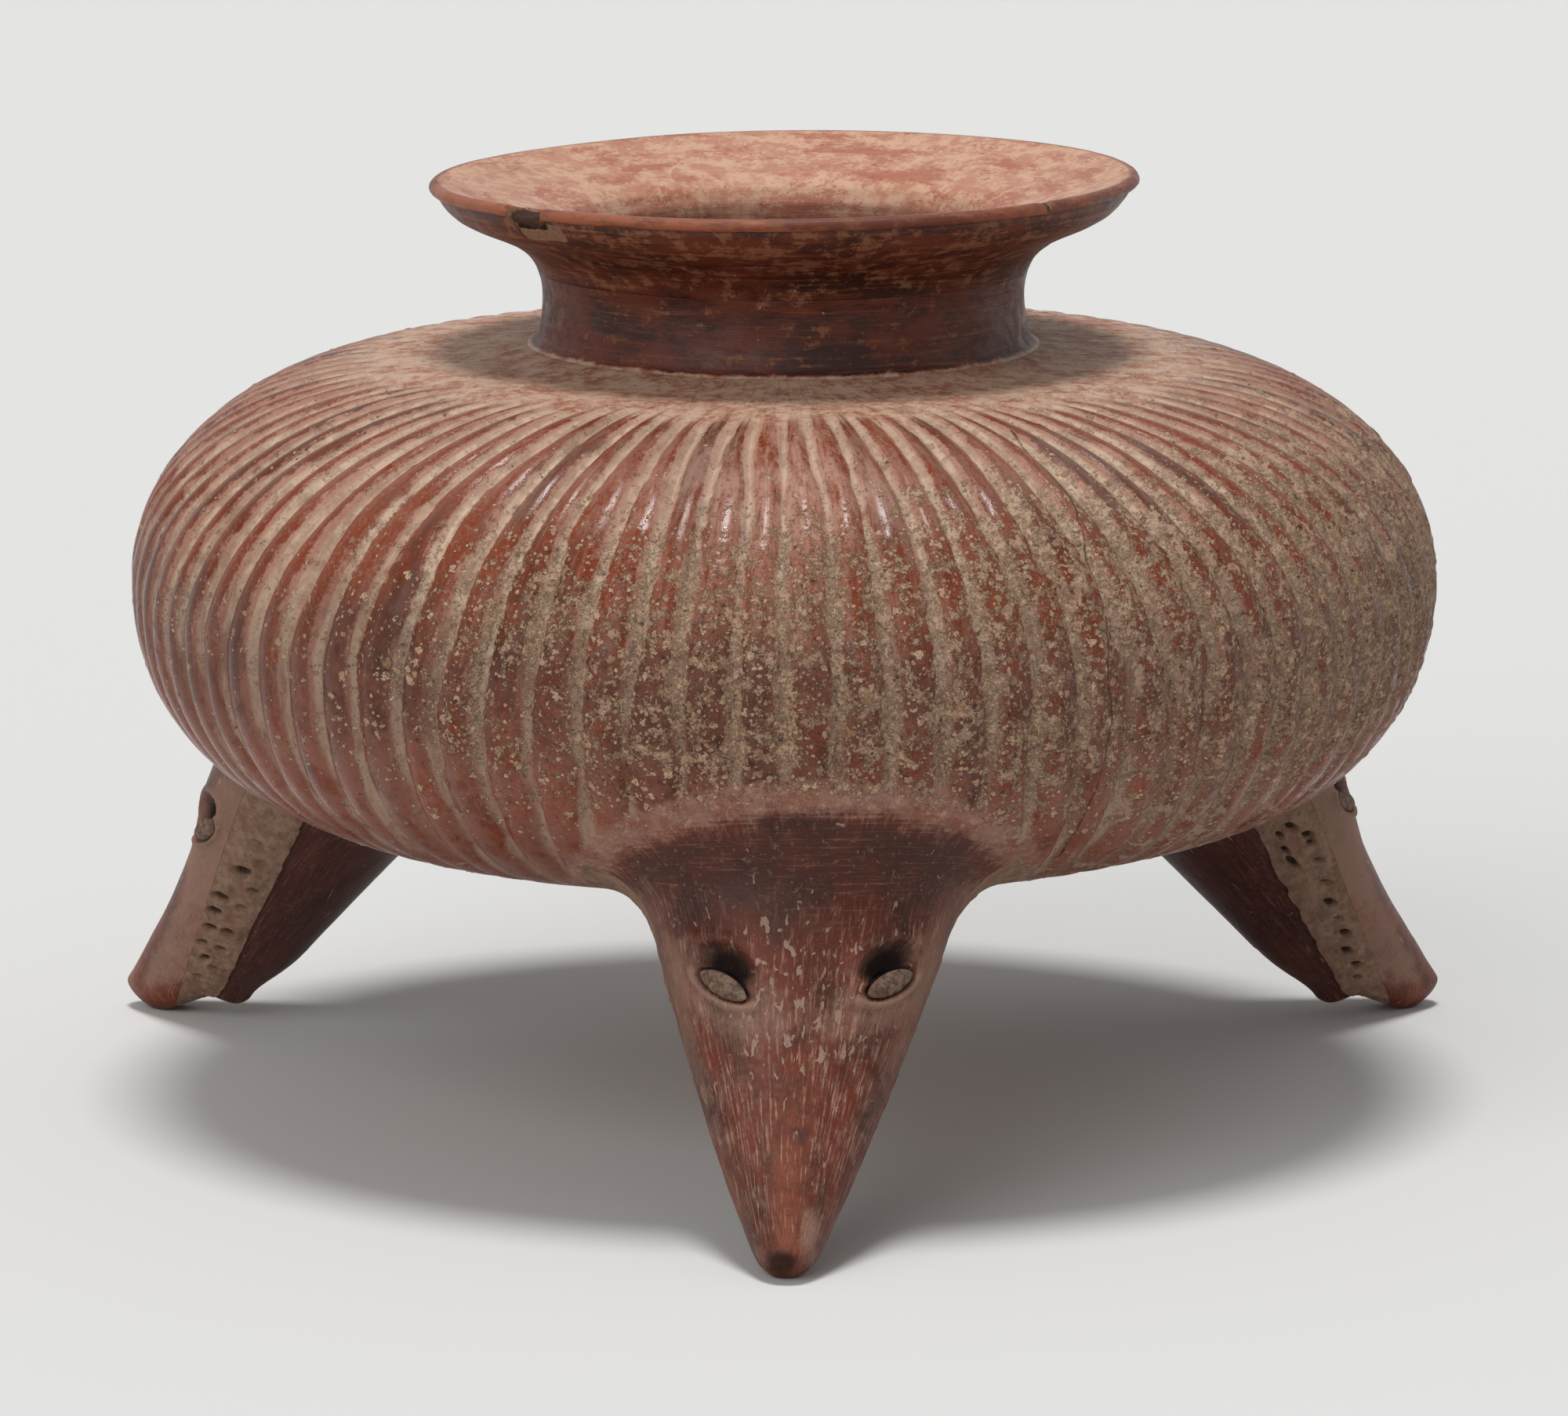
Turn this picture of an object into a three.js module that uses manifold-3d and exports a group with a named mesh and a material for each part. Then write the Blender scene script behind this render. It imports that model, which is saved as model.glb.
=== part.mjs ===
import * as THREE from 'three';
import { mergeVertices } from 'three/addons/utils/BufferGeometryUtils.js';
import Module from 'manifold-3d';

const wasm = await Module();
wasm.setup();

// A squat earthenware jar with vertical gadroons, a flared neck and three animal heads
// as supports, snouts down. Millimetres, +Z up, floor at z = 0, front towards -Y.

// Body: two bowls joined at the widest line. Both rounds are centred on crownRadius.
const bodyRadius = 165;
const equatorHeight = 134;
const crownRadius = 90;
const shoulderRise = 57;
const bellyDrop = 62;
const topRise = 2.4;
const bodyWall = 7;
const seamBevel = 4;
const shoulderFullness = 2.04;
const bellyFullness = 2.16;

// Gadroons: convex lobes between narrow grooves, pulled a little towards the front.
const gadroonCount = 84;
const gadroonDepth = 2;
const grooveShares = [1, 0, 0];
const columnShares = [0, 0.3, 0.7];
const shoulderLean = 0.35;
const bellyLean = 0.15;
const shoulderLatitudes = [0, 14, 28, 42, 56, 70];
const shoulderFadeShares = [1, 1, 1, 1, 0.85, 0];
const bellyLatitudes = [0, -15, -30, -45, -60, -76];
const bellyFadeShares = [1, 1, 1, 0.9, 0.7, 0];

// Neck, rim and lip, counted up from the top of the shoulder.
const neckRadius = 60.7;
const neckWall = 6.3;
const neckFootSpread = 6;
const collarHeight = 18.8;
const collarTopSpread = 1.3;
const lipRadius = 89.4;
const lipRise = 42.4;
const coilRadius = 3.45;
const coilSeatLow = 250;
const coilSeatHigh = 130;

// Heads: radial reaches count out or in from the crown of the arch under the belly.
const supportAzimuths = { front: -90, left: 150, right: 30 };
const archLatitude = -35;
const archHalfAngle = 17;
const archFade = 5;
const snoutOverhang = 50;
const jawSetback = 34;
const rootDepth = 97;
const rootHalfWidth = 44;
const headFullness = 2.15;
const widestShare = 0.55;
const tipShift = 0.5;
const rootShift = 5.5;
const headWall = 8;
const hollowDepth = 63;

// Each station of a head: share of the arch height, then shares of the overhang,
// of the jaw-to-root depth and of the root half-width.
const stationShares = [
  { height: 0, outer: 0.9, inner: 0.97, width: 0.13 },
  { height: 0.05, outer: 1, inner: 0.955, width: 0.19 },
  { height: 0.17, outer: 0.84, inner: 0.834, width: 0.323 },
  { height: 0.34, outer: 0.6, inner: 0.691, width: 0.484 },
  { height: 0.51, outer: 0.4, inner: 0.546, width: 0.636 },
  { height: 0.68, outer: 0.29, inner: 0.364, width: 0.78 },
  { height: 0.85, outer: 0.11, inner: 0.175, width: 0.893 },
  { height: 1, outer: 0, inner: 0, width: 1 },
  { height: 1.06, outer: -0.06, inner: -0.05, width: 1.03 },
];

// Jaw seam and tooth strip on the sides of a head, set back from the snout's reach
// at the floor and from the crown of the arch at the root.
const jawSeamFootSetback = 29.4;
const jawSeamRootSetback = 55.6;
const stripFootSetback = 18.8;
const stripRootSetback = 30.6;
const stripTopDrop = 35;
const stripRecess = 0.8;
const stripThickness = 2.6;
const mouthRadius = 6.5;
const mouthDrop = 2.2;
const gougeCount = 7;
const gougeLength = 6;
const gougeWidth = 2.6;
const gougeDepth = 1.2;
const gougeFirstHeight = 15;

// Eyes: a lens of clay in a socket, with a deeper hollow above it.
const eyeDrop = 34;
const eyeOffset = 20.5;
const eyeTilt = 27;
const eyeHalfLength = 7.4;
const eyeHalfWidth = 3;
const eyeHalfDepth = 2.4;
const eyeSink = 0.9;
const browHollowHalfLength = 5.6;
const browHollowHalfWidth = 4.2;
const browHollowHalfDepth = 3.4;
const browHollowLift = 5.2;

const seatGap = 0.3;
const overrun = 10;
const turn = THREE.MathUtils.degToRad;
const smoothColumns = gadroonCount;
const innerColumns = gadroonCount / 2;
const neckSegments = 48;
const headColumns = 22;
const eyeColumns = 8;
const eyeRows = 6;

const clay = {
  belly: { color: 0x8c4a38, roughness: 0.5 },
  shoulder: { color: 0x96503c, roughness: 0.5 },
  neck: { color: 0x7a4030, roughness: 0.55 },
  rim: { color: 0x9a5540, roughness: 0.5 },
  lip: { color: 0xa4512f, roughness: 0.42 },
  head: { color: 0x6b3226, roughness: 0.55 },
  jaw: { color: 0x5e2c22, roughness: 0.6 },
  strip: { color: 0x8d7460, roughness: 0.9 },
  eye: { color: 0x77604e, roughness: 0.85 },
};

const between = (from, to, share) => from + (to - from) * share;

// Makes any closed geometry one welded body with its faces pointing out.
function closedBody(source) {
  source.deleteAttribute('normal');
  source.deleteAttribute('uv');
  const merged = mergeVertices(source);
  const place = merged.attributes.position;
  const corners = merged.index.array;
  const kept = [];
  const [a, b, c] = [new THREE.Vector3(), new THREE.Vector3(), new THREE.Vector3()];
  let volume = 0;
  for (let i = 0; i < corners.length; i += 3) {
    const [p, q, r] = [corners[i], corners[i + 1], corners[i + 2]];
    if (p === q || q === r || r === p) continue;
    a.fromBufferAttribute(place, p);
    b.fromBufferAttribute(place, q);
    c.fromBufferAttribute(place, r);
    volume += a.dot(b.cross(c));
    kept.push([p, q, r]);
  }
  const outward = volume > 0 ? kept : kept.map(([p, q, r]) => [p, r, q]);
  merged.setIndex(outward.flat());
  return merged;
}

const toSolid = (source) => {
  const body = closedBody(source);
  const vertProperties = new Float32Array(body.attributes.position.array);
  const triVerts = new Uint32Array(body.index.array);
  return new wasm.Manifold(new wasm.Mesh({ numProp: 3, vertProperties, triVerts }));
};

// A boolean may leave slivers of no thickness beside the piece: only the piece is kept.
const mainBody = (solid) =>
  solid.decompose().reduce((largest, part) => (part.volume() > largest.volume() ? part : largest));

const toGeometry = (solid) => {
  const { vertProperties, triVerts } = mainBody(solid).getMesh();
  const result = new THREE.BufferGeometry();
  result.setAttribute('position', new THREE.Float32BufferAttribute(vertProperties, 3));
  result.setIndex(Array.from(triVerts));
  return result;
};

// Skins a list of rings of points. Neighbouring rings may differ in count, and a ring of
// one point is a pole. A looped stack joins its last ring to its first.
function ringStack(rings, looped) {
  const points = [];
  const starts = [];
  for (const ring of rings) {
    starts.push(points.length);
    points.push(...ring);
  }
  const faces = [];
  const join = (low, high) => {
    const [countLow, countHigh] = [rings[low].length, rings[high].length];
    const lowAt = (i) => starts[low] + (i % countLow);
    const highAt = (j) => starts[high] + (j % countHigh);
    let [i, j] = [0, 0];
    const [endLow, endHigh] = [countLow > 1 ? countLow : 0, countHigh > 1 ? countHigh : 0];
    while (i < endLow || j < endHigh) {
      // Each point takes the half step on both sides of it, and a tie steps the ring of
      // fewer points, so that facing seams get the same faces.
      const ahead = (2 * i + 1) * endHigh - (2 * j + 1) * endLow;
      const stepLow = j >= endHigh || (i < endLow && (ahead < 0 || (ahead === 0 && endLow <= endHigh)));
      if (stepLow) {
        faces.push(lowAt(i), lowAt(i + 1), highAt(j));
        i += 1;
      } else {
        faces.push(lowAt(i), highAt(j + 1), highAt(j));
        j += 1;
      }
    }
  };
  for (let k = 0; k + 1 < rings.length; k += 1) join(k, k + 1);
  if (looped) join(rings.length - 1, 0);
  const skin = new THREE.BufferGeometry();
  skin.setAttribute('position', new THREE.Float32BufferAttribute(points.flatMap((p) => p.toArray()), 3));
  skin.setIndex(faces);
  return closedBody(skin);
}

// A point of the body's round at a latitude from the equator, moved in by an inset.
function bodyPoint(latitude, inset = 0) {
  const upper = latitude > 0;
  const power = 2 / (upper ? shoulderFullness : bellyFullness);
  const rise = upper ? shoulderRise : -bellyDrop;
  const angle = turn(Math.abs(latitude));
  const across = (bodyRadius - crownRadius - inset) * Math.cos(angle) ** power;
  const up = (rise - Math.sign(rise) * inset) * Math.sin(angle) ** power;
  return { radius: crownRadius + across, height: equatorHeight + up };
}

// How far the lobes at this latitude are turned towards the front.
function leanAngle(azimuth, latitude) {
  const lean = latitude > 0 ? shoulderLean : bellyLean;
  const meanRadius = (bodyRadius - crownRadius + shoulderRise) / 2;
  const arc = (turn(latitude) * meanRadius) / bodyPoint(latitude).radius;
  return -lean * arc * Math.sin(azimuth - turn(supportAzimuths.front));
}

// The lobes die out in a smooth arch above each head: 0 inside it, 1 outside.
function archShare(azimuth, latitude) {
  let share = 1;
  for (const support of Object.values(supportAzimuths)) {
    const away = Math.abs(Math.atan2(Math.sin(azimuth - turn(support)), Math.cos(azimuth - turn(support))));
    const across = away / turn(archHalfAngle);
    const along = (latitude + 90) / (archLatitude + 90);
    const inside = Math.hypot(across, along);
    share = Math.min(share, THREE.MathUtils.smoothstep(inside, 1, 1 + archFade / archHalfAngle));
  }
  return share;
}

const onCircle = (radius, angle, height) =>
  new THREE.Vector3(radius * Math.cos(angle), radius * Math.sin(angle), height);

const plainRing = (radius, height, count = smoothColumns) =>
  Array.from({ length: count }, (_, i) => onCircle(radius, (i / count) * 2 * Math.PI, height));

function gadroonRing(latitude, fade, lift = 0) {
  const outer = bodyPoint(latitude);
  const slope = turn(latitude);
  const ring = [];
  for (let lobe = 0; lobe < gadroonCount; lobe += 1) {
    columnShares.forEach((columnShare, column) => {
      const azimuth = ((lobe + columnShare) / gadroonCount) * 2 * Math.PI;
      const turned = azimuth + leanAngle(azimuth, latitude);
      const depth = gadroonDepth * fade * grooveShares[column] * archShare(azimuth, latitude);
      const radius = outer.radius - depth * Math.cos(slope);
      ring.push(onCircle(radius, turned, outer.height + lift - depth * Math.sin(slope)));
    });
  }
  return ring;
}

const crownHeight = equatorHeight + shoulderRise;
const seatHeight = crownHeight + topRise;
const throatRadius = neckRadius - neckWall;
const neckFootRadius = neckRadius + neckFootSpread;

function baseBowl() {
  const floorHeight = equatorHeight - bellyDrop;
  const inner = bellyLatitudes.slice(0, -1).reverse().map((latitude) => {
    const { radius, height } = bodyPoint(latitude, bodyWall);
    return plainRing(radius, latitude === 0 ? height + seamBevel - seatGap : height, innerColumns);
  });
  const outer = bellyLatitudes.map((latitude, i) =>
    gadroonRing(latitude, bellyFadeShares[i], latitude === 0 ? -seatGap : 0));
  return ringStack([
    [new THREE.Vector3(0, 0, floorHeight + bodyWall)],
    plainRing(crownRadius, floorHeight + bodyWall, innerColumns),
    ...inner,
    ...outer,
    plainRing(crownRadius, floorHeight),
    [new THREE.Vector3(0, 0, floorHeight)],
  ], false);
}

function shoulderBowl() {
  const inner = shoulderLatitudes.slice(0, -1).map((latitude) => {
    const { radius, height } = bodyPoint(latitude, bodyWall);
    return plainRing(radius, latitude === 0 ? height + seamBevel : height, innerColumns);
  });
  const outer = shoulderLatitudes.map((latitude, i) => gadroonRing(latitude, shoulderFadeShares[i]));
  return ringStack([
    ...inner,
    plainRing(crownRadius, crownHeight - bodyWall, innerColumns),
    plainRing(throatRadius, seatHeight - bodyWall, innerColumns),
    plainRing(throatRadius, seatHeight),
    plainRing(neckFootRadius, seatHeight),
    plainRing(crownRadius, crownHeight),
    ...outer.reverse(),
  ], true);
}

// Turns a closed outline of [radius, height] pairs about the jar's axis.
function turned(outline) {
  const profile = [...outline, outline[0]].map(([radius, height]) => new THREE.Vector2(radius, height));
  const ring = new THREE.LatheGeometry(profile, neckSegments);
  ring.rotateX(Math.PI / 2);
  return closedBody(ring);
}

const collarTop = seatHeight + collarHeight;
const lipTop = seatHeight + lipRise;
const coilCentre = [lipRadius - coilRadius, lipTop - coilRadius];

const collarSpreadShares = [[1, 0], [0.42, 0.09], [0.12, 0.24], [0, 0.56]];
function neckCollar() {
  const foot = seatHeight + seatGap;
  const outside = collarSpreadShares.map(([spread, up]) =>
    [neckRadius + neckFootSpread * spread, between(foot, collarTop, up)]);
  return turned([
    [throatRadius, foot],
    ...outside,
    [neckRadius + collarTopSpread, collarTop],
    [throatRadius, collarTop],
  ]);
}

const rimOuterShares = [[0.084, 0.236], [0.22, 0.41], [0.44, 0.56], [0.81, 0.79]];
const rimInnerShares = [[0.6, 0.81], [0.207, 0.638], [0.086, 0.524], [0.017, 0.293]];
function flaredRim() {
  const foot = collarTop + seatGap;
  const footRadius = neckRadius + collarTopSpread;
  const seat = [];
  const seatSteps = 3;
  for (let i = 0; i <= seatSteps; i += 1) {
    const angle = turn(between(coilSeatLow, coilSeatHigh, i / seatSteps));
    const reach = coilRadius + seatGap;
    seat.push([coilCentre[0] + reach * Math.cos(angle), coilCentre[1] + reach * Math.sin(angle)]);
  }
  const [low, high] = [seat[0], seat[seatSteps]];
  return turned([
    [throatRadius, foot],
    [footRadius, foot],
    ...rimOuterShares.map(([out, up]) => [between(footRadius, low[0], out), between(foot, low[1], up)]),
    ...seat,
    ...rimInnerShares.map(([out, up]) => [between(throatRadius, high[0], out), between(foot, high[1], up)]),
  ]);
}

function lipCoil() {
  const outline = [];
  const sides = 8;
  for (let i = 0; i < sides; i += 1) {
    const angle = (i / sides) * 2 * Math.PI;
    outline.push([coilCentre[0] + coilRadius * Math.cos(angle), coilCentre[1] + coilRadius * Math.sin(angle)]);
  }
  return turned(outline);
}

// Heads are built with +X out from the jar's axis and +Y counter-clockwise.
const arch = bodyPoint(archLatitude);
const snoutReach = arch.radius + snoutOverhang;
const jawReach = snoutReach - jawSetback;
const rootReach = arch.radius - rootDepth;

function headStation(share, inset) {
  const outer = between(arch.radius, snoutReach, share.outer) - inset;
  const inner = between(rootReach, jawReach, share.inner) + inset;
  return {
    height: arch.height * share.height,
    outer,
    inner,
    halfWidth: rootHalfWidth * share.width - inset,
    middle: between(inner, outer, widestShare),
    shift: between(tipShift, rootShift, share.height),
  };
}

// The station at any height, found between the two listed ones round it.
function stationAt(height, inset = 0) {
  const share = height / arch.height;
  const above = Math.max(1, stationShares.findIndex((station) => station.height >= share));
  const [low, high] = [stationShares[above - 1], stationShares[above]];
  const part = (share - low.height) / (high.height - low.height);
  const mixed = {};
  for (const key of Object.keys(low)) mixed[key] = between(low[key], high[key], part);
  return headStation(mixed, inset);
}

function stationPoint(station, angle) {
  const power = 2 / headFullness;
  const out = Math.sign(Math.cos(angle)) * Math.abs(Math.cos(angle)) ** power;
  const side = Math.sign(Math.sin(angle)) * Math.abs(Math.sin(angle)) ** power;
  const reach = out > 0 ? station.outer - station.middle : station.middle - station.inner;
  return new THREE.Vector3(
    station.middle + reach * out,
    station.shift + station.halfWidth * side,
    station.height,
  );
}

// The head's outer shape, or the same shape moved in by an inset and started at a floor.
function headLoft(inset, floor = 0) {
  const above = stationShares.map((share) => headStation(share, inset))
    .filter((station) => station.height > floor);
  const stations = [stationAt(floor, inset), ...above];
  const rings = stations.map((station) =>
    Array.from({ length: headColumns }, (_, i) => stationPoint(station, (i / headColumns) * 2 * Math.PI)));
  const cap = (station) => [new THREE.Vector3(station.middle, station.shift, station.height)];
  return toSolid(ringStack([cap(stations[0]), ...rings, cap(stations.at(-1))], false));
}

// A slab with an outline of [reach, height] pairs, running across the head.
function acrossHead(outline) {
  const shape = new THREE.Shape(outline.map(([reach, height]) => new THREE.Vector2(reach, height)));
  const width = 2 * (rootHalfWidth + overrun);
  const slab = new THREE.ExtrudeGeometry(shape, { depth: width, bevelEnabled: false });
  slab.translate(0, 0, -width / 2);
  slab.rotateX(Math.PI / 2);
  return toSolid(slab);
}

// The space that the two bowls take, grown by the seat gap.
function bodySpace() {
  const chordAllowance = bodyRadius * (1 - Math.cos(Math.PI / smoothColumns));
  const grown = -(seatGap + chordAllowance);
  const latitudes = [...bellyLatitudes].reverse();
  const rings = latitudes.map((latitude) => {
    const { radius, height } = bodyPoint(latitude, grown);
    return plainRing(radius, height);
  });
  const low = equatorHeight - bellyDrop + grown;
  const high = equatorHeight + overrun;
  return toSolid(ringStack([
    [new THREE.Vector3(0, 0, low)],
    plainRing(crownRadius, low),
    ...rings,
    plainRing(bodyRadius - grown, high),
    [new THREE.Vector3(0, 0, high)],
  ], false));
}

const jawSeam = (height, gap) =>
  between(snoutReach - jawSeamFootSetback, arch.radius - jawSeamRootSetback, height / arch.height) + gap;
const stripEdge = (height, gap) =>
  between(snoutReach - stripFootSetback, arch.radius - stripRootSetback, height / arch.height) + gap;
const stripTop = arch.height - stripTopDrop;
const eyeHeight = arch.height - eyeDrop;

// A lens shape set on the side of a head at the eye, with its long way tilted.
function eyeSolid(side, half, lift, sink) {
  const station = stationAt(eyeHeight);
  const surface = (height, offset) => {
    const at = stationAt(height);
    const share = Math.min(1, Math.abs(offset) / at.halfWidth);
    const out = (1 - share ** headFullness) ** (1 / headFullness);
    return new THREE.Vector3(at.middle + (at.outer - at.middle) * out, at.shift + offset, height);
  };
  const centre = surface(eyeHeight, side * eyeOffset);
  const along = surface(eyeHeight, side * (eyeOffset + eyeHalfWidth)).sub(centre).normalize();
  const up = surface(eyeHeight + station.halfWidth / 4, side * eyeOffset).sub(centre).normalize();
  const out = new THREE.Vector3().crossVectors(along, up).multiplyScalar(side).normalize();
  const level = new THREE.Vector3().crossVectors(up, out).multiplyScalar(side).normalize();
  const tilt = turn(eyeTilt);
  const long = level.clone().multiplyScalar(Math.cos(tilt)).addScaledVector(up, Math.sin(tilt)).normalize();
  const short = new THREE.Vector3().crossVectors(out, long).normalize();
  const lens = new THREE.SphereGeometry(1, eyeColumns, eyeRows);
  const turnTo = new THREE.Matrix4().makeBasis(long, short, out);
  const raised = centre.clone().addScaledVector(up, lift).addScaledVector(out, -sink);
  lens.applyMatrix4(new THREE.Matrix4().makeScale(half[0], half[1], half[2]));
  lens.applyMatrix4(turnTo);
  lens.translate(raised.x, raised.y, raised.z);
  return toSolid(lens);
}

const lensHalf = [eyeHalfLength, eyeHalfWidth, eyeHalfDepth];
const browHalf = [browHollowHalfLength, browHollowHalfWidth, browHollowHalfDepth];
const eyePellet = (side) => eyeSolid(side, lensHalf, 0, eyeSink);
const eyeSocket = (side) =>
  eyeSolid(side, lensHalf.map((half) => half + seatGap), 0, eyeSink)
    .add(eyeSolid(side, browHalf, browHollowLift, 0));

// One gouge mark pressed into the strip, square to the head's side.
function gougeMark(side, height) {
  const station = stationAt(height);
  const reach = between(jawSeam(height, 0), stripEdge(height, 0), 0.5);
  const share = Math.abs(reach - station.middle) /
    (reach > station.middle ? station.outer - station.middle : station.middle - station.inner);
  const offset = station.halfWidth * (1 - Math.min(1, share) ** headFullness) ** (1 / headFullness);
  const mark = new THREE.BoxGeometry(gougeLength, 2 * (gougeDepth + stripRecess), gougeWidth);
  mark.rotateY(turn(eyeTilt));
  mark.translate(reach, station.shift + side * offset, height);
  return toSolid(mark);
}

function headPieces() {
  const top = arch.height + overrun;
  const low = -overrun;
  const behindSeam = (gap) => [
    [rootReach - 2 * overrun, low],
    [jawSeam(low, gap), low],
    [jawSeam(top, gap), top],
    [rootReach - 2 * overrun, top],
  ];
  const stripBand = (gap) => [
    [jawSeam(low, gap), low],
    [stripEdge(low, -gap), low],
    [stripEdge(stripTop - gap, -gap), stripTop - gap],
    [jawSeam(stripTop - gap, gap), stripTop - gap],
  ];
  const mouthReach = between(jawSeam(0, 0), stripEdge(0, 0), 0.5);
  const mouth = new THREE.CylinderGeometry(mouthRadius, mouthRadius, 2 * rootHalfWidth, headColumns / 2);
  mouth.translate(mouthReach, 0, -mouthDrop);

  const whole = headLoft(0);
  const hollow = headLoft(headWall, arch.height - hollowDepth);
  const space = bodySpace().add(hollow).add(toSolid(mouth));
  const clayBody = whole.subtract(space);
  const skin = headLoft(-overrun).subtract(headLoft(stripRecess + stripThickness + seatGap));
  const recess = skin.intersect(acrossHead(stripBand(0)));
  let face = clayBody.subtract(acrossHead(behindSeam(seatGap / 2))).subtract(recess);
  for (const side of [-1, 1]) face = face.subtract(eyeSocket(side));
  const jaw = clayBody.intersect(acrossHead(behindSeam(-seatGap / 2)));
  const band = headLoft(stripRecess).subtract(headLoft(stripRecess + stripThickness))
    .intersect(acrossHead(stripBand(seatGap)))
    .subtract(space);
  const strips = {};
  const eyes = {};
  for (const [side, name] of [[-1, 'clockwise'], [1, 'counter']]) {
    const half = new THREE.BoxGeometry(4 * bodyRadius, 2 * rootHalfWidth, 4 * arch.height);
    half.translate(0, side * rootHalfWidth, 0);
    let strip = band.intersect(toSolid(half));
    for (let i = 0; i < gougeCount; i += 1) {
      const height = between(gougeFirstHeight, stripTop, i / gougeCount);
      strip = strip.subtract(gougeMark(side, height));
    }
    strips[name] = strip;
    eyes[name] = eyePellet(side);
  }
  return { face, jaw, strips, eyes };
}

function piece(name, shape, finish) {
  const material = new THREE.MeshStandardMaterial({ ...finish, metalness: 0 });
  const mesh = new THREE.Mesh(shape, material);
  mesh.name = name;
  return mesh;
}

const vessel = new THREE.Group();
vessel.add(piece('base_bowl', baseBowl(), clay.belly));
vessel.add(piece('shoulder_bowl', shoulderBowl(), clay.shoulder));
vessel.add(piece('neck_collar', neckCollar(), clay.neck));
vessel.add(piece('flared_rim', flaredRim(), clay.rim));
vessel.add(piece('lip_coil', lipCoil(), clay.lip));

const head = headPieces();
for (const [place, azimuth] of Object.entries(supportAzimuths)) {
  const support = new THREE.Group();
  support.rotation.z = turn(azimuth);
  support.add(piece(`head_${place}`, toGeometry(head.face), clay.head));
  support.add(piece(`jaw_${place}`, toGeometry(head.jaw), clay.jaw));
  for (const side of Object.keys(head.strips)) {
    support.add(piece(`tooth_strip_${place}_${side}`, toGeometry(head.strips[side]), clay.strip));
    support.add(piece(`eye_${place}_${side}`, toGeometry(head.eyes[side]), clay.eye));
  }
  vessel.add(support);
}

// The origin lies on the floor under the middle of the part's box: the front snout
// reaches further forward than the belly reaches back.
vessel.position.y = (snoutReach - bodyRadius) / 2;

export default vessel;
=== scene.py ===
import math
import bpy
import numpy as np
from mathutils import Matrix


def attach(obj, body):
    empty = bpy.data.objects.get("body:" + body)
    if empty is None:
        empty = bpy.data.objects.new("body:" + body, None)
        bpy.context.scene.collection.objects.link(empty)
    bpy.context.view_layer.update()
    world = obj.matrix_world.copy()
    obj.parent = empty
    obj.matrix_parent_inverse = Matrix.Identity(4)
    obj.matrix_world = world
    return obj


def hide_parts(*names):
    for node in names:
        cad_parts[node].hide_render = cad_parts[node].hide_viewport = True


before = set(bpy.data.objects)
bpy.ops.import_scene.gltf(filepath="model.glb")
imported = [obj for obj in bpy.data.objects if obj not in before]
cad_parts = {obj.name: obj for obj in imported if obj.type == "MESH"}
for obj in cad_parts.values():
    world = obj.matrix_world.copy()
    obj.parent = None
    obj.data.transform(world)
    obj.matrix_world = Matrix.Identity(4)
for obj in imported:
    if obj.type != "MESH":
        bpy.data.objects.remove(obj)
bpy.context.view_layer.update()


def mixed(low, high, share):
    return low + (high - low) * share


def eased(value, low, high):
    share = np.clip((value - low) / (high - low), 0, 1)
    return share * share * (3 - 2 * share)


def faded(value, low, high):
    return 1 - eased(value, low, high)


# Rises from 0 to 1 between the first two bounds and falls back between the last two.
def between(value, riseStart, riseEnd, fallStart, fallEnd):
    return eased(value, riseStart, riseEnd) * faded(value, fallStart, fallEnd)


def signedPower(value, power):
    return np.sign(value) * np.abs(value) ** power


def stacked(x, y, z):
    return np.stack(np.broadcast_arrays(x, y, z), -1)


def polar(radius, angle, height):
    return stacked(radius * np.cos(angle), radius * np.sin(angle), height)


def unit(vectors):
    return vectors / np.linalg.norm(vectors, axis=-1, keepdims=True)


def aroundAngles(count):
    return np.arange(count) / count * 2 * math.pi


def inMetres(millimetres):
    return millimetres / 1000


def smoothed(line, times):
    line = line.copy()
    for _ in range(times):
        line[1:-1] = line[1:-1] / 2 + (line[2:] + line[:-2]) / 4
    return line


def lengthsAlong(line):
    return np.r_[0, np.cumsum(np.hypot(*np.diff(line, axis=0).T))]


# A bent line of [a, b] points, sampled evenly and rounded at its corners.
def softLine(points, spacing, softness):
    points = np.array(points, float)
    lengths = lengthsAlong(points)
    along = np.linspace(0, lengths[-1], max(4, int(lengths[-1] / spacing)))
    line = np.stack([np.interp(along, lengths, points[:, i]) for i in (0, 1)], -1)
    return smoothed(line, int(softness / spacing * 2))


# Smooth noise from -1 to 1, the same on every run. size is the width of one patch.
def clayNoise(points, size, seed, octaves=1):
    total = np.zeros(points.shape[:-1])
    for octave in range(octaves):
        place = points / size * 2 ** octave + seed * 7.31 + octave * 3.17
        base = np.floor(place).astype(np.int64)
        part = place - base
        part = part * part * part * (part * (part * 6 - 15) + 10)
        layer = np.zeros(points.shape[:-1])
        for corner in range(8):
            step = np.array([corner & 1, corner >> 1 & 1, corner >> 2 & 1])
            cell = base + step
            mark = cell[..., 0] * 73856093 ^ cell[..., 1] * 19349663 ^ cell[..., 2] * 83492791
            mark = (mark ^ seed * 7919) & 0x7FFFFFFF
            mark = (mark ^ (mark >> 13)) * 1274126177 & 0x7FFFFFFF
            mark = (mark ^ (mark >> 15)) * 668265263 & 0x7FFFFFFF
            weight = np.prod(np.where(step == 1, part, 1 - part), axis=-1)
            layer += ((mark >> 8 & 0xFFFF) / 32767.5 - 1) * weight
        total += layer * 0.5 ** octave
    return total / sum(0.5 ** octave for octave in range(octaves))


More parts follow.
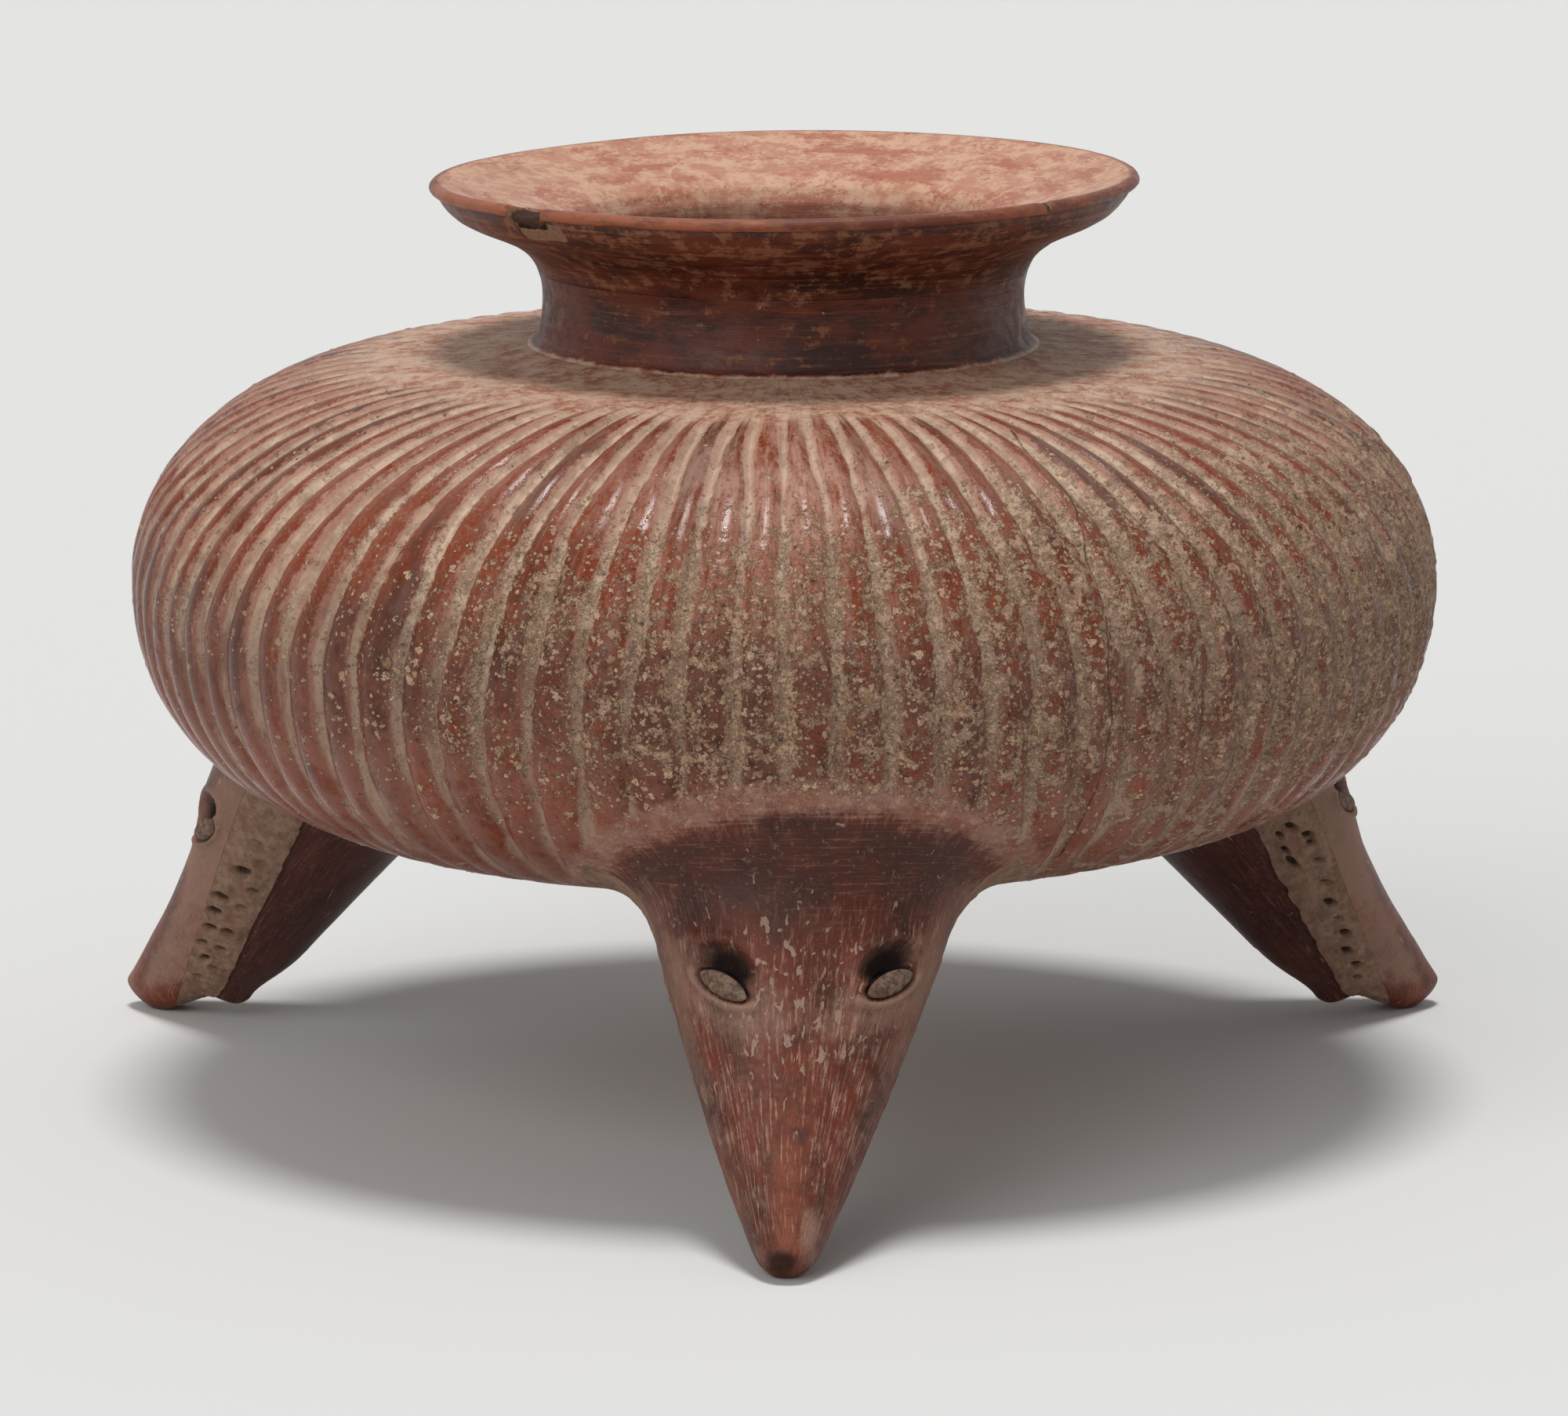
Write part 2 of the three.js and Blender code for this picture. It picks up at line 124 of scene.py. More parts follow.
jar = {
    "radius": 165,
    "widestHeight": 134,
    "roundCentre": 90,  # from the axis to the middle of the body's round
    "shoulderRise": 57,
    "bellyDrop": 62,
    "shoulderFullness": 2.04,
    "bellyFullness": 2.16,
    "topRise": 2.4,
    "wall": 7,
    "throat": 54.4,
    "headAngles": {"front": -90, "left": 150, "right": 30},
    "wobble": 0.45,
    "wobbleWidth": 75,
    "lipTilt": 0.8,
    "tiltedHeights": (198, 236),
    "evenBelow": 20,  # lower points keep their height, so that the tips stand level
    "sharpAngle": 65,
}


# A point of the body's round at a latitude from the widest line.
def roundPoint(latitude, inset=0):
    upper = latitude > 0
    power = 2 / np.where(upper, jar["shoulderFullness"], jar["bellyFullness"])
    rise = np.where(upper, jar["shoulderRise"] - inset, inset - jar["bellyDrop"])
    angle = np.radians(np.abs(latitude))
    across = (jar["radius"] - jar["roundCentre"] - inset) * np.abs(np.cos(angle)) ** power
    return jar["roundCentre"] + across, jar["widestHeight"] + rise * np.sin(angle) ** power


head = {
    "archLatitude": -35,
    "snoutOverhang": 50,
    "jawSetback": 34,
    "rootDepth": 97,
    "rootHalfWidth": 44,
    "fullness": 2.15,
    "widestShare": 0.55,
    "tipShift": 0.5,
    "rootShift": 5.5,
    # The section by height: shares of the arch's height, of both reaches and of the width.
    "height": [0, 0.05, 0.17, 0.34, 0.51, 0.68, 0.85, 1, 1.06],
    "outer": [0.9, 1, 0.84, 0.6, 0.4, 0.29, 0.11, 0, -0.06],
    "inner": [0.97, 0.955, 0.834, 0.691, 0.546, 0.364, 0.175, 0, -0.05],
    "width": [0.13, 0.19, 0.323, 0.484, 0.636, 0.78, 0.893, 1, 1.03],
    "bandTopDrop": 33,
    "fillet": 15,
    "rowsUp": 190,
    "rowsSkirt": 14,
    "capShares": [0, 0.25, 0.5, 0.75, 0.92],
    "columnsSnout": 200,
    "columnsBand": 64,
    "columnsJaw": 90,
    "shell": 4,
    "soleThickness": 3,
    "tipTuck": 0.28,
    "tuckBelow": 3.2,
    "notchBelow": 18,
}

archRadius, archHeight = (float(v) for v in roundPoint(np.array(head["archLatitude"])))
snoutReach = archRadius + head["snoutOverhang"]
axisShift = (snoutReach - jar["radius"]) / 2
frontAngle = math.radians(jar["headAngles"]["front"])


# The pull and dip of hand work, one for the whole jar, so that neighbours still meet.
def handmade(points):
    moved = points.copy()
    for axis in range(3):
        moved[..., axis] += jar["wobble"] * clayNoise(points, jar["wobbleWidth"], 11 + axis)
    lift = points[..., 0] * math.tan(math.radians(jar["lipTilt"]))
    moved[..., 2] += lift * eased(points[..., 2], *jar["tiltedHeights"])
    moved[..., 2] = np.where(points[..., 2] < jar["evenBelow"], points[..., 2], moved[..., 2])
    return moved


# Faces of a grid of points; columns close on themselves where wrap is true.
def gridFaces(rows, columns, wrap, start=0, flip=False):
    row = np.arange(rows - 1)[:, None]
    column = np.arange(columns if wrap else columns - 1)
    here, after = row * columns + column, row * columns + (column + 1) % columns
    corners = [here, after, after + columns, here + columns]
    return (np.stack(corners[::-1] if flip else corners, -1).reshape(-1, 4) + start).tolist()


def fanFaces(ring, centre, flip=False):
    here, after = (np.roll(ring, -1), ring) if flip else (ring, np.roll(ring, -1))
    return np.stack([here, after, np.full(len(ring), centre)], -1).tolist()


def flattened(values):
    return values.reshape(-1, 3) if values.shape[-1] == 3 else values.ravel()


def addObject(name, data):
    thing = bpy.data.objects.new(name, data)
    bpy.context.scene.collection.objects.link(thing)
    return thing


# One mesh object in its place, with its marks as point attributes for the shader.
def makePiece(name, points, faces, marks, node, material):
    placed = inMetres(handmade(flattened(points))) + [0, inMetres(axisShift), 0]
    mesh = bpy.data.meshes.new(name)
    mesh.from_pydata(placed.tolist(), [], faces)
    for markName, values in marks.items():
        values = flattened(values)
        kind, field = ("FLOAT_VECTOR", "vector") if values.ndim == 2 else ("FLOAT", "value")
        layer = mesh.attributes.new(markName, kind, "POINT")
        layer.data.foreach_set(field, values.astype(np.float32).ravel())
    mesh.shade_smooth()
    mesh.set_sharp_from_angle(angle=math.radians(jar["sharpAngle"]))
    mesh.materials.append(material)
    piece = addObject(name, mesh)
    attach(piece, "root")
    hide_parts(node)


# An output socket that can be reckoned with: each sum or product becomes a Math node.
class Amount:
    def __init__(self, nodes, socket):
        self.nodes, self.socket = nodes, socket

    def __add__(self, other):
        return self.nodes.math("ADD", self, other)

    def __sub__(self, other):
        return self.nodes.math("SUBTRACT", self, other)

    def __rsub__(self, other):
        return self.nodes.math("SUBTRACT", other, self)

    def __mul__(self, other):
        return self.nodes.math("MULTIPLY", self, other)

    def most(self, other):
        return self.nodes.math("MAXIMUM", self, other)

    # A soft step from 0 at low to 1 at high, which may also lie below low.
    def step(self, low, high):
        inputs = {"Value": self, "From Min": low, "From Max": high}
        return self.nodes.make("ShaderNodeMapRange", "Result", inputs, interpolation_type="SMOOTHSTEP")


class Nodes:
    def __init__(self, owner):
        owner.use_nodes = True
        self.tree = owner.node_tree

    def put(self, socket, value):
        if isinstance(value, Amount):
            self.tree.links.new(value.socket, socket)
        elif socket.type == "RGBA":
            socket.default_value = (*value, 1)
        else:
            socket.default_value = value

    def make(self, kind, output, inputs, **settings):
        node = self.tree.nodes.new(kind)
        for key, value in settings.items():
            setattr(node, key, value)
        for key, value in inputs.items():
            self.put(node.inputs[key], value)
        return Amount(self, node.outputs[output])

    def parts(self, kind, value):
        node = self.tree.nodes.new(kind)
        self.put(node.inputs[0], value)
        return [Amount(self, output) for output in node.outputs]

    def math(self, kind, first, second):
        return self.make("ShaderNodeMath", 0, {0: first, 1: second}, operation=kind)


# A colour that others are painted over, each on a share of the surface.
class Coat:
    def __init__(self, clay, colour):
        self.clay, self.colour = clay, colour

    def paint(self, tone, share):
        self.colour = self.clay.blend(share, self.colour, tone)


# The nodes of one clay; a string names a colour or value of its look.
class ClayNodes(Nodes):
    def __init__(self, name, look):
        self.material = bpy.data.materials.new(name)
        self.look = look
        super().__init__(self.material)

    def put(self, socket, value):
        if isinstance(value, Coat):
            value = value.colour
        super().put(socket, self.look[value] if isinstance(value, str) else value)

    def coat(self, first, tone, share):
        return Coat(self, self.blend(share, first, tone))

    def mark(self, name, output="Fac"):
        return self.make("ShaderNodeAttribute", output, {}, attribute_name=name)

    def place(self):
        return self.make("ShaderNodeTexCoord", "Object", {})

    def stretched(self, vector, *scale):
        return self.make("ShaderNodeMapping", "Vector", {"Vector": vector, "Scale": scale})

    def noise(self, vector, size, detail=3, roughness=0.55, warp=0):
        inputs = {"Vector": vector, "Scale": 1 / size, "Detail": detail}
        return self.make("ShaderNodeTexNoise", "Fac", dict(inputs, Roughness=roughness, Distortion=warp))

    def cells(self, vector, size):
        distance = self.make("ShaderNodeTexVoronoi", "Distance", {"Vector": vector, "Scale": 1 / size})
        return distance, Amount(self, distance.socket.node.outputs["Color"])

    # Separate ragged chips, each with a size and a tone of its own; chance says how many show.
    def chips(self, vector, size, chance, ragged):
        distance, own = self.cells(vector, size)
        width, rank, tone = self.parts("ShaderNodeSeparateColor", own)
        reach = (ragged - 0.5) * 1.5 + distance
        chip = (width * 0.34 + 0.16 - reach).step(0, 0.1)
        return chip * (chance - rank).step(0, 0.05), tone

    # Small round grains: patch says how widely they gather.
    def grains(self, vector, size, noiseSize, patch, patchShare):
        distance = self.cells(vector, size)[0] + self.noise(vector, noiseSize, 4, 0.7) * 0.7
        return (distance + self.noise(vector, patch, 3) * patchShare).step(0.74, 0.66)

    def blend(self, share, first, second):
        return self.make("ShaderNodeMix", 2, {0: share, 6: first, 7: second}, data_type="RGBA")

    def level(self, share, first, second):
        return self.make("ShaderNodeMix", 0, {0: share, 2: first, 3: second})

    def finish(self, colour, rough, shine, height=None, depth=0.0003):
        sockets = {"Base Color": colour, "Roughness": rough, "Specular IOR Level": shine}
        if height is not None:
            bump = {"Strength": 0.8, "Distance": depth, "Height": height}
            sockets["Normal"] = self.make("ShaderNodeBump", "Normal", bump)
        shader = self.tree.nodes["Principled BSDF"]
        for key, value in sockets.items():
            self.put(shader.inputs[key], value)
        return self.material


# sRGB values from 0 to 255, as a painter would note them down.
def tint(red, green, blue):
    shares = np.array([red, green, blue]) / 255
    return tuple(np.where(shares > 0.04, ((shares + 0.055) / 1.055) ** 2.4, shares / 12.92))


plainLook = {
    "pale": tint(198, 166, 142),
    "warm": tint(158, 100, 78),
    "low": tint(132, 80, 66),
    "lowDust": tint(146, 108, 92),
    "dust": tint(204, 174, 149),
    "lowHeights": (0.165, 0.12),
}


# The thin slip where lobes run out, alike on the body, the heads' edges and the neck's foot;
# and how low a place lies.
def plainSlip(clay, place):
    low = clay.parts("ShaderNodeSeparateXYZ", place)[2].step(*plainLook["lowHeights"])
    wide = clay.noise(place, 0.0075, 8, 0.8).step(0.42, 0.6)
    colour = clay.blend(wide, plainLook["pale"], plainLook["warm"])
    colour = clay.blend(low, colour, clay.blend(wide, plainLook["lowDust"], plainLook["low"]))
    small = clay.noise(place, 0.002, 6, 0.8).step(0.52, 0.6) * clay.level(low, 0.7, 0.3)
    return clay.blend(small, colour, plainLook["dust"]), low


bodyLook = {
    "slip": tint(122, 50, 17),
    "slipDeep": tint(76, 31, 12),
    "slipWorn": tint(152, 88, 62),
    "film": tint(166, 116, 98),
    "filmLow": tint(132, 82, 67),
    "bloomAndSheen": tint(202, 164, 145),
    "sootAndShade": tint(56, 30, 20),
    "buff": tint(172, 145, 122),
    "buffPale": tint(206, 182, 156),
    "buffLow": tint(150, 123, 105),
    "greyDirt": tint(108, 103, 96),
    "flake": tint(202, 172, 142),
    "flakeDark": tint(142, 108, 83),
    "dusting": tint(198, 168, 145),
    "lime": tint(184, 155, 130),
    "grit": tint(50, 35, 27),
    "slipRoughness": 0.21,
    "buffRoughness": 0.75,
    "shine": 0.25,
}


# Burnished red bands, a rosy film beside them, buff in the grooves and flaking crust on top.
def makeBodyClay(name, look):
    clay = ClayNodes(name, look)
    place = clay.place()
    flow = clay.mark("flow", "Vector")
    zone, lime, worn, groove = [clay.mark(key) for key in ("zone", "lime", "worn", "groove")]
    streaks = clay.noise(clay.stretched(flow, 1, 1, 0.09), 0.0022, 5, 0.72)
    broad = clay.noise(clay.stretched(flow, 1, 1, 0.4), 0.02, 5, 0.65)
    mottle = clay.noise(place, 0.0055, 7, 0.75)
    fine = clay.noise(place, 0.0014, 5, 0.75)
    tiny = clay.noise(place, 0.0005, 2, 0.6)
    plain, low = plainSlip(clay, place)
    filmColour = clay.coat("film", "filmLow", low)

    slip = clay.coat("slip", "slipDeep", broad.step(0.45, 0.66))
    rubbed = (worn * 0.2 + streaks).step(0.54, 0.72) * (worn * 0.36 + 0.32)
    slip.paint(clay.blend(worn, "slipWorn", filmColour), rubbed)
    lowHaze = low * clay.noise(flow, 0.008, 6, 0.7).step(0.34, 0.56)
    slip.paint("filmLow", lowHaze * 0.75)
    # A dark band round the widest line: partly soot, partly painted shade.
    slip.paint("sootAndShade", clay.mark("sootAndShade") * mottle.step(0.34, 0.6) * 0.55)

    buff = clay.coat("buff", "buffPale", mottle.step(0.42, 0.58))
    buff.paint("film", streaks.step(0.44, 0.66) * 0.4)
    buff.paint("buffLow", low * 0.85)
    film = (mottle - 0.5) * 1.1 + (streaks - 0.5) * 1.1 + clay.mark("rose")
    buff.paint(filmColour, film.step(0.15, 0.75) * 0.9)
    grey = clay.noise(clay.stretched(flow, 1, 1, 0.3), 0.004, 6, 0.75)
    buff.paint("greyDirt", grey.step(0.5, 0.6) * groove.step(0.5, 0.85) * worn * 0.7)
    buff.paint("grit", fine.step(0.58, 0.66) * 0.35)

    edge = (streaks - 0.5) + (mottle - 0.5) * 1.2 + (fine - 0.5) * 0.5 + groove
    breaks = clay.noise(clay.stretched(flow, 1, 1, 0.3), 0.009, 5, 0.7).step(0.44, 0.6)
    fill = edge.step(0.4, 0.62) * (1 - breaks * clay.level(low, 0.25, 0.7))
    colour = clay.coat(slip, buff, fill)
    haze = clay.noise(place, 0.011, 7, 0.75).step(0.5, 0.62) * (worn * 0.4 + 0.08)
    colour.paint(filmColour, haze)
    # A pale whitish film on the upper lobes at the front and back: partly the slip's own pale film, partly a
    # painted sheen.
    bloomAndSheen = clay.mark("bloomAndSheen") * clay.noise(clay.stretched(flow, 1, 1, 0.4), 0.005, 7, 0.78).step(0.38, 0.62)
    colour.paint("bloomAndSheen", bloomAndSheen * 0.6)
    powder = clay.noise(place, 0.0012, 4, 0.7).step(0.52, 0.64) * broad.step(0.62, 0.4)
    colour.paint("dusting", powder * clay.level(low, 0.2, 0.12))
    plainEdge = (streaks - 0.5) * 1.4 + clay.mark("plain")
    colour.paint(plain, plainEdge.step(0.2, 0.8))

    cream = clay.noise(clay.stretched(place, 1, 1, 0.7), 0.006, 8, 0.8) + lime * 0.13
    cream = (fill * 0.04 + cream).step(0.64, 0.68)
    colour.paint(clay.blend(low * 0.7, "lime", "buffLow"), cream * 0.75)
    rind = clay.noise(place, 0.0045, 8, 0.82) + zone * 0.15
    rind = (fill * 0.04 + rind).step(0.66, 0.68)
    colour.paint(clay.blend(fine.step(0.4, 0.6), "flakeDark", "lime"), rind * 0.85)

    patches = clay.noise(place, 0.012, 4, 0.7).step(0.36, 0.6)
    chance = (lime * 0.2 + 0.025 + zone) * (patches * 0.9 + 0.35)
    coarse, coarseTone = clay.chips(place, 0.0027, chance, clay.noise(place, 0.0011, 3, 0.7))
    small, smallTone = clay.chips(place, 0.0014, chance * 1.15, fine)
    flake = coarse.most(small)
    tone = clay.level(coarse, smallTone, coarseTone) * tiny.step(0.3, 0.6)
    colour.paint(clay.blend(tone, "flakeDark", "flake"), flake * 0.92)
    # Dark grit between the chips, which also stands for the chips' shadows: painted shade.
    gap = clay.noise(place, 0.0015, 4, 0.72).step(0.56, 0.66) * zone.step(0.2, 0.9) * (1 - flake)
    colour.paint("grit", gap * 0.8)

    spots = clay.grains(place, 0.0024, 0.0009, 0.012, 0.6)
    colour.paint("flake", spots * 0.85)
    pits = clay.noise(place, 0.0026, 3, 0.6).step(0.7, 0.75)
    colour.paint("grit", pits * 0.7)
    crackLine = clay.math("ABSOLUTE", clay.mark("crack"), 0) + fine * 0.0004
    crack = crackLine.step(0.0005, 0.0003) * mottle.step(0.62, 0.46)
    colour.paint("grit", crack * 0.8)

    dull = flake.most(rind).most(cream).most(fill * 0.75)
    rough = clay.level(dull, "slipRoughness", "buffRoughness") + (streaks - 0.5) * 0.5
    height = (fine + tiny * 0.5) * (dull * 0.7 + 0.15) + flake * 2.2 + spots * 0.9 + rind * 1.1
    height = height + cream * 0.4 - (pits + crack) * 1.2 + streaks * 0.5
    return clay.finish(colour, rough, "shine", height)


neckLook = {
    # The outside's slip is its own brown, darkened further as painted shade for the shadow under the flared
    # rim.
    "slip": tint(94, 41, 25),
    "slipDeep": tint(54, 24, 16),
    "slipPale": tint(134, 88, 62),
    "rosy": tint(186, 128, 104),
    "rosyBuff": tint(206, 165, 137),
    "rosyRed": tint(164, 92, 68),
    "bead": tint(150, 84, 57),
    "beadDeep": tint(104, 52, 36),
    "buff": tint(196, 160, 134),
    "scar": tint(138, 102, 78),
    "scarDark": tint(66, 42, 31),
    "roughness": 0.36,
    "scarRoughness": 0.85,
    "shine": 0.32,
}


# Slip burnished round the axis; rosy and buff inside the flare, brown outside, darkened as painted shade
# from the rim, orange bead.
def makeTurnedClay(name, look):
    clay = ClayNodes(name, look)
    place = clay.place()
    flow = clay.mark("flow", "Vector")
    rings = clay.noise(clay.stretched(flow, 0.05, 0.05, 1), 0.0016, 5, 0.75)
    broad = clay.noise(clay.stretched(flow, 0.35, 0.35, 1), 0.009, 7, 0.72)
    mottle = clay.noise(place, 0.0055, 7, 0.76)
    fine = clay.noise(place, 0.0013, 5, 0.75)
    plain = plainSlip(clay, place)[0]
    ringLines = rings.step(0.52, 0.68)

    outside = clay.coat("slip", "slipDeep", broad.step(0.42, 0.6))
    outside.paint("slipPale", ringLines * 0.4)
    dusty = (rings - 0.5) * 0.4 + clay.mark("dust") * 0.2 + mottle
    outside.paint("slipPale", dusty.step(0.58, 0.68) * 0.75)
    inside = clay.coat("rosy", "rosyBuff", mottle.step(0.43, 0.57))
    redder = (fine - 0.5) * 0.4 + broad
    inside.paint("rosyRed", redder.step(0.5, 0.6) * 0.8)
    inside.paint("rosyBuff", ringLines * 0.35)
    colour = clay.coat(outside, inside, clay.mark("inside"))
    bead = clay.coat("bead", "beadDeep", broad.step(0.44, 0.58))
    bead.paint("slipPale", mottle.step(0.5, 0.64) * 0.55)
    colour.paint(bead, clay.mark("bead"))
    footEdge = (mottle - 0.5) * 1.4 + clay.mark("foot")
    colour.paint(plain, footEdge.step(0.25, 0.75))

    spots = clay.grains(place, 0.0034, 0.0012, 0.016, 0.7)
    colour.paint("buff", spots * 0.7)
    dark = clay.noise(place, 0.0022, 4, 0.68).step(0.62, 0.7)
    colour.paint("scarDark", dark * 0.5)
    scar = ((fine - 0.5) * 0.5 + clay.mark("scar")).step(0.35, 0.48)
    deep = (clay.noise(place, 0.002, 4, 0.7) - 0.5) * 1.4 + clay.mark("deep")
    scarColour = clay.coat("scar", "scarDark", deep.step(0.4, 0.9))
    scarColour.paint("scarDark", fine.step(0.5, 0.64) * 0.5)
    colour.paint(scarColour, scar)

    dull = scar.most(mottle.step(0.4, 0.6) * 0.4)
    rough = clay.level(dull, "roughness", "scarRoughness")
    height = rings * 0.8 + fine * 0.5 + spots * 0.8 + fine * scar * 1.5
    return clay.finish(colour, rough, "shine", height)


headLook = {
    "slip": tint(102, 44, 28),
    "slipOrange": tint(142, 72, 42),
    "slipDeep": tint(58, 29, 20),
    "film": tint(180, 132, 112),
    "dust": tint(162, 128, 112),
    "earth": tint(146, 118, 97),
    "fleck": tint(160, 131, 113),
    "grit": tint(38, 25, 20),
    "hollow": tint(17, 9, 7),
    "roughness": 0.4,
    "shine": 0.24,
}
jawLook = dict(headLook, slip=tint(84, 40, 32), slipOrange=tint(98, 48, 36), slipDeep=tint(62, 30, 25))


# Head slip: level burnish under the arch, upright scratches and pale flecks down the snout; painted shadow
# in the cove under the body and painted shade in the eye hollows.
def makeHeadClay(name, look):
    clay = ClayNodes(name, look)
    place = clay.place()
    flow = clay.mark("flow", "Vector")
    cove, hollowShadeAndDarkTip = clay.mark("cove"), clay.mark("hollowShadeAndDarkTip")
    upright = clay.noise(clay.stretched(flow, 1, 0.07, 1), 0.0006, 3, 0.72)
    level = clay.noise(clay.stretched(flow, 0.1, 1, 1), 0.0008, 4, 0.76)
    broad = clay.noise(clay.stretched(flow, 1, 0.5, 1), 0.011, 6, 0.66)
    mottle = clay.noise(place, 0.0045, 7, 0.76)
    fine = clay.noise(place, 0.0012, 5, 0.72)
    plain = plainSlip(clay, place)[0]

    colour = clay.coat("slip", "slipDeep", broad.step(0.38, 0.66))
    ridge = clay.mark("ridge") * mottle.step(0.3, 0.62)
    colour.paint("slipOrange", ridge * 0.75)
    # The cove under the body's bulge gets darker slip: painted shadow.
    colour.paint("slipDeep", cove * clay.level(mottle.step(0.4, 0.6), 0.85, 0.55))
    colour.paint("slipDeep", mottle.step(0.52, 0.66) * 0.45)
    haze = ((mottle - 0.5) * 1.4 + (upright - 0.5) * 0.6 + clay.mark("dust")).step(0.15, 0.95)
    scratch = upright.step(0.51, 0.6) * mottle.step(0.32, 0.56)
    scratch = clay.level(cove, scratch, level.step(0.52, 0.66) * 0.5) * (clay.mark("scratched") - hollowShadeAndDarkTip)
    shown = haze * 0.2 + broad.step(0.62, 0.4) * 0.2 + 0.32
    colour.paint("film", scratch * shown)
    colour.paint("fleck", fine.step(0.57, 0.66) * (cove * 0.2 + 0.2))
    dust = clay.coat("dust", "earth", clay.mark("earth") * mottle.step(0.34, 0.54))
    colour.paint(dust, haze * 0.65)
    flecks = clay.noise(clay.stretched(flow, 1, 0.36, 1), 0.0014, 2, 0.5, 0.7)
    flecks = ((broad - 0.5) * 0.2 + clay.mark("fleck") * 0.085 + flecks).step(0.7, 0.73)
    colour.paint("fleck", flecks * 0.8)
    dark = clay.noise(place, 0.0024, 5, 0.72).step(0.6, 0.68) * 0.4
    colour.paint("grit", dark)
    # The eye hollows and the sockets' upper edges get painted shade; the snout's tip by the floor is also
    # darker.
    colour.paint("hollow", hollowShadeAndDarkTip)
    ledge = (mottle - 0.5) * 1.6 + (level - 0.5) * 1.2 + clay.mark("ledge")
    colour.paint(plain, ledge.step(0.15, 0.85))

    rough = scratch * 0.2 + haze * 0.25 + hollowShadeAndDarkTip * 0.5 + look["roughness"]
    height = scratch * 0.5 + fine * 0.5 + flecks * 1.1 - dark * 0.8
    return clay.finish(colour, rough, "shine", height)


bandLook = {
    "clay": tint(116, 89, 72),
    "clayPale": tint(146, 117, 98),
    "clayRed": tint(118, 80, 66),
    "pit": tint(40, 29, 23),
    "patch": 0.0035,
    "roughness": 0.85,
    "shine": 0.25,
}
eyeLook = {
    "clay": tint(80, 61, 51),
    "clayPale": tint(136, 113, 96),
    "clayRed": tint(98, 62, 50),
    "pit": tint(40, 30, 25),
    "patch": 0.0018,
    "roughness": 0.85,
    "shine": 0.25,
}


# Bare, porous clay without slip.
def makeRawClay(name, look):
    clay = ClayNodes(name, look)
    place = clay.place()
    broad = clay.noise(place, look["patch"], 6, 0.76)
    colour = clay.coat("clay", "clayPale", broad.step(0.36, 0.64))
    colour.paint("clayRed", clay.noise(place, 0.008, 6, 0.72).step(0.48, 0.64) * 0.45)
    pits = clay.noise(place, 0.0016, 3, 0.6).step(0.62, 0.74) * 0.6
    pits = pits.most(clay.mark("pit").step(0.3, 0.85))
    colour.paint("pit", pits * 0.85)
    height = clay.noise(place, 0.0012, 4, 0.7) - pits
    return clay.finish(colour, "roughness", "shine", height, 0.0004)


bodyClay = makeBodyClay("burnished gadroon slip", bodyLook)
turnedClay = makeTurnedClay("level burnished slip", neckLook)
headClay = makeHeadClay("worn head slip", headLook)
jawClay = makeHeadClay("dark jaw slip", jawLook)
bandClay = makeRawClay("bare tooth band", bandLook)
eyeClay = makeRawClay("gritty eye clay", eyeLook)
print("the clays are mixed")


# A head's section from its foot to its arch, in steps of height.
def headTable():
    heights = np.arange(-2, head["height"][-1] * archHeight + 3, 0.25)
    share = heights / archHeight
    lines = {}
    for key in ("outer", "inner", "width"):
        line = np.interp(share, head["height"], head[key])
        lines[key] = mixed(smoothed(line, 100), smoothed(line, 220), eased(heights, 5, 14))
    return {
        "height": heights,
        "outer": mixed(archRadius, snoutReach, lines["outer"]),
        "inner": mixed(archRadius - head["rootDepth"], snoutReach - head["jawSetback"], lines["inner"]),
        "half": head["rootHalfWidth"] * lines["width"],
        "shift": mixed(head["tipShift"], head["rootShift"], share),
    }


table = headTable()


# Outer and inner reach, half width, sideways shift and middle of a head at a height.
def sectionAt(height):
    found = [np.interp(height, table["height"], table[key]) for key in ("outer", "inner", "half", "shift")]
    return *found, mixed(found[1], found[0], head["widestShare"])


def reachFrom(middle, outwards, outer, inner):
    return np.where(outwards > 0, outer - middle, middle - inner)


def headPoint(height, angle):
    outer, inner, half, shift, middle = sectionAt(height)
    out = signedPower(np.cos(angle), 2 / head["fullness"])
    side = signedPower(np.sin(angle), 2 / head["fullness"])
    return stacked(middle + reachFrom(middle, out, outer, inner) * out, shift + half * side, height)


# The angle at which a head's section crosses a line at that distance from the axis.
def angleAtReach(height, distance):
    outer, inner, half, shift, middle = sectionAt(height)
    out = np.clip((distance - middle) / reachFrom(middle, distance - middle, outer, inner), -1, 1)
    return np.arccos(signedPower(out, head["fullness"] / 2))


# Distance from the axis, how much of it lies past the round's centre, and height from the
# widest line.
def placeOnBody(points):
    radius = np.hypot(points[..., 0], points[..., 1])
    return radius, np.maximum(radius - jar["roundCentre"], 0), points[..., 2] - jar["widestHeight"]


bellyWidth = jar["radius"] - jar["roundCentre"]


def bodyDistance(points):
    radius, across, drop = placeOnBody(points)
    power = jar["bellyFullness"]
    level = ((across / bellyWidth) ** power + (np.abs(drop) / jar["bellyDrop"]) ** power) ** (1 / power)
    return np.hypot(across, drop) * (1 - 1 / level)


def bodyNormal(points):
    radius, across, drop = placeOnBody(points)
    power = jar["bellyFullness"] - 1
    out = (across / bellyWidth) ** power / bellyWidth / radius
    up = signedPower(drop / jar["bellyDrop"], power) / jar["bellyDrop"]
    return unit(stacked(out * points[..., 0], out * points[..., 1], up))


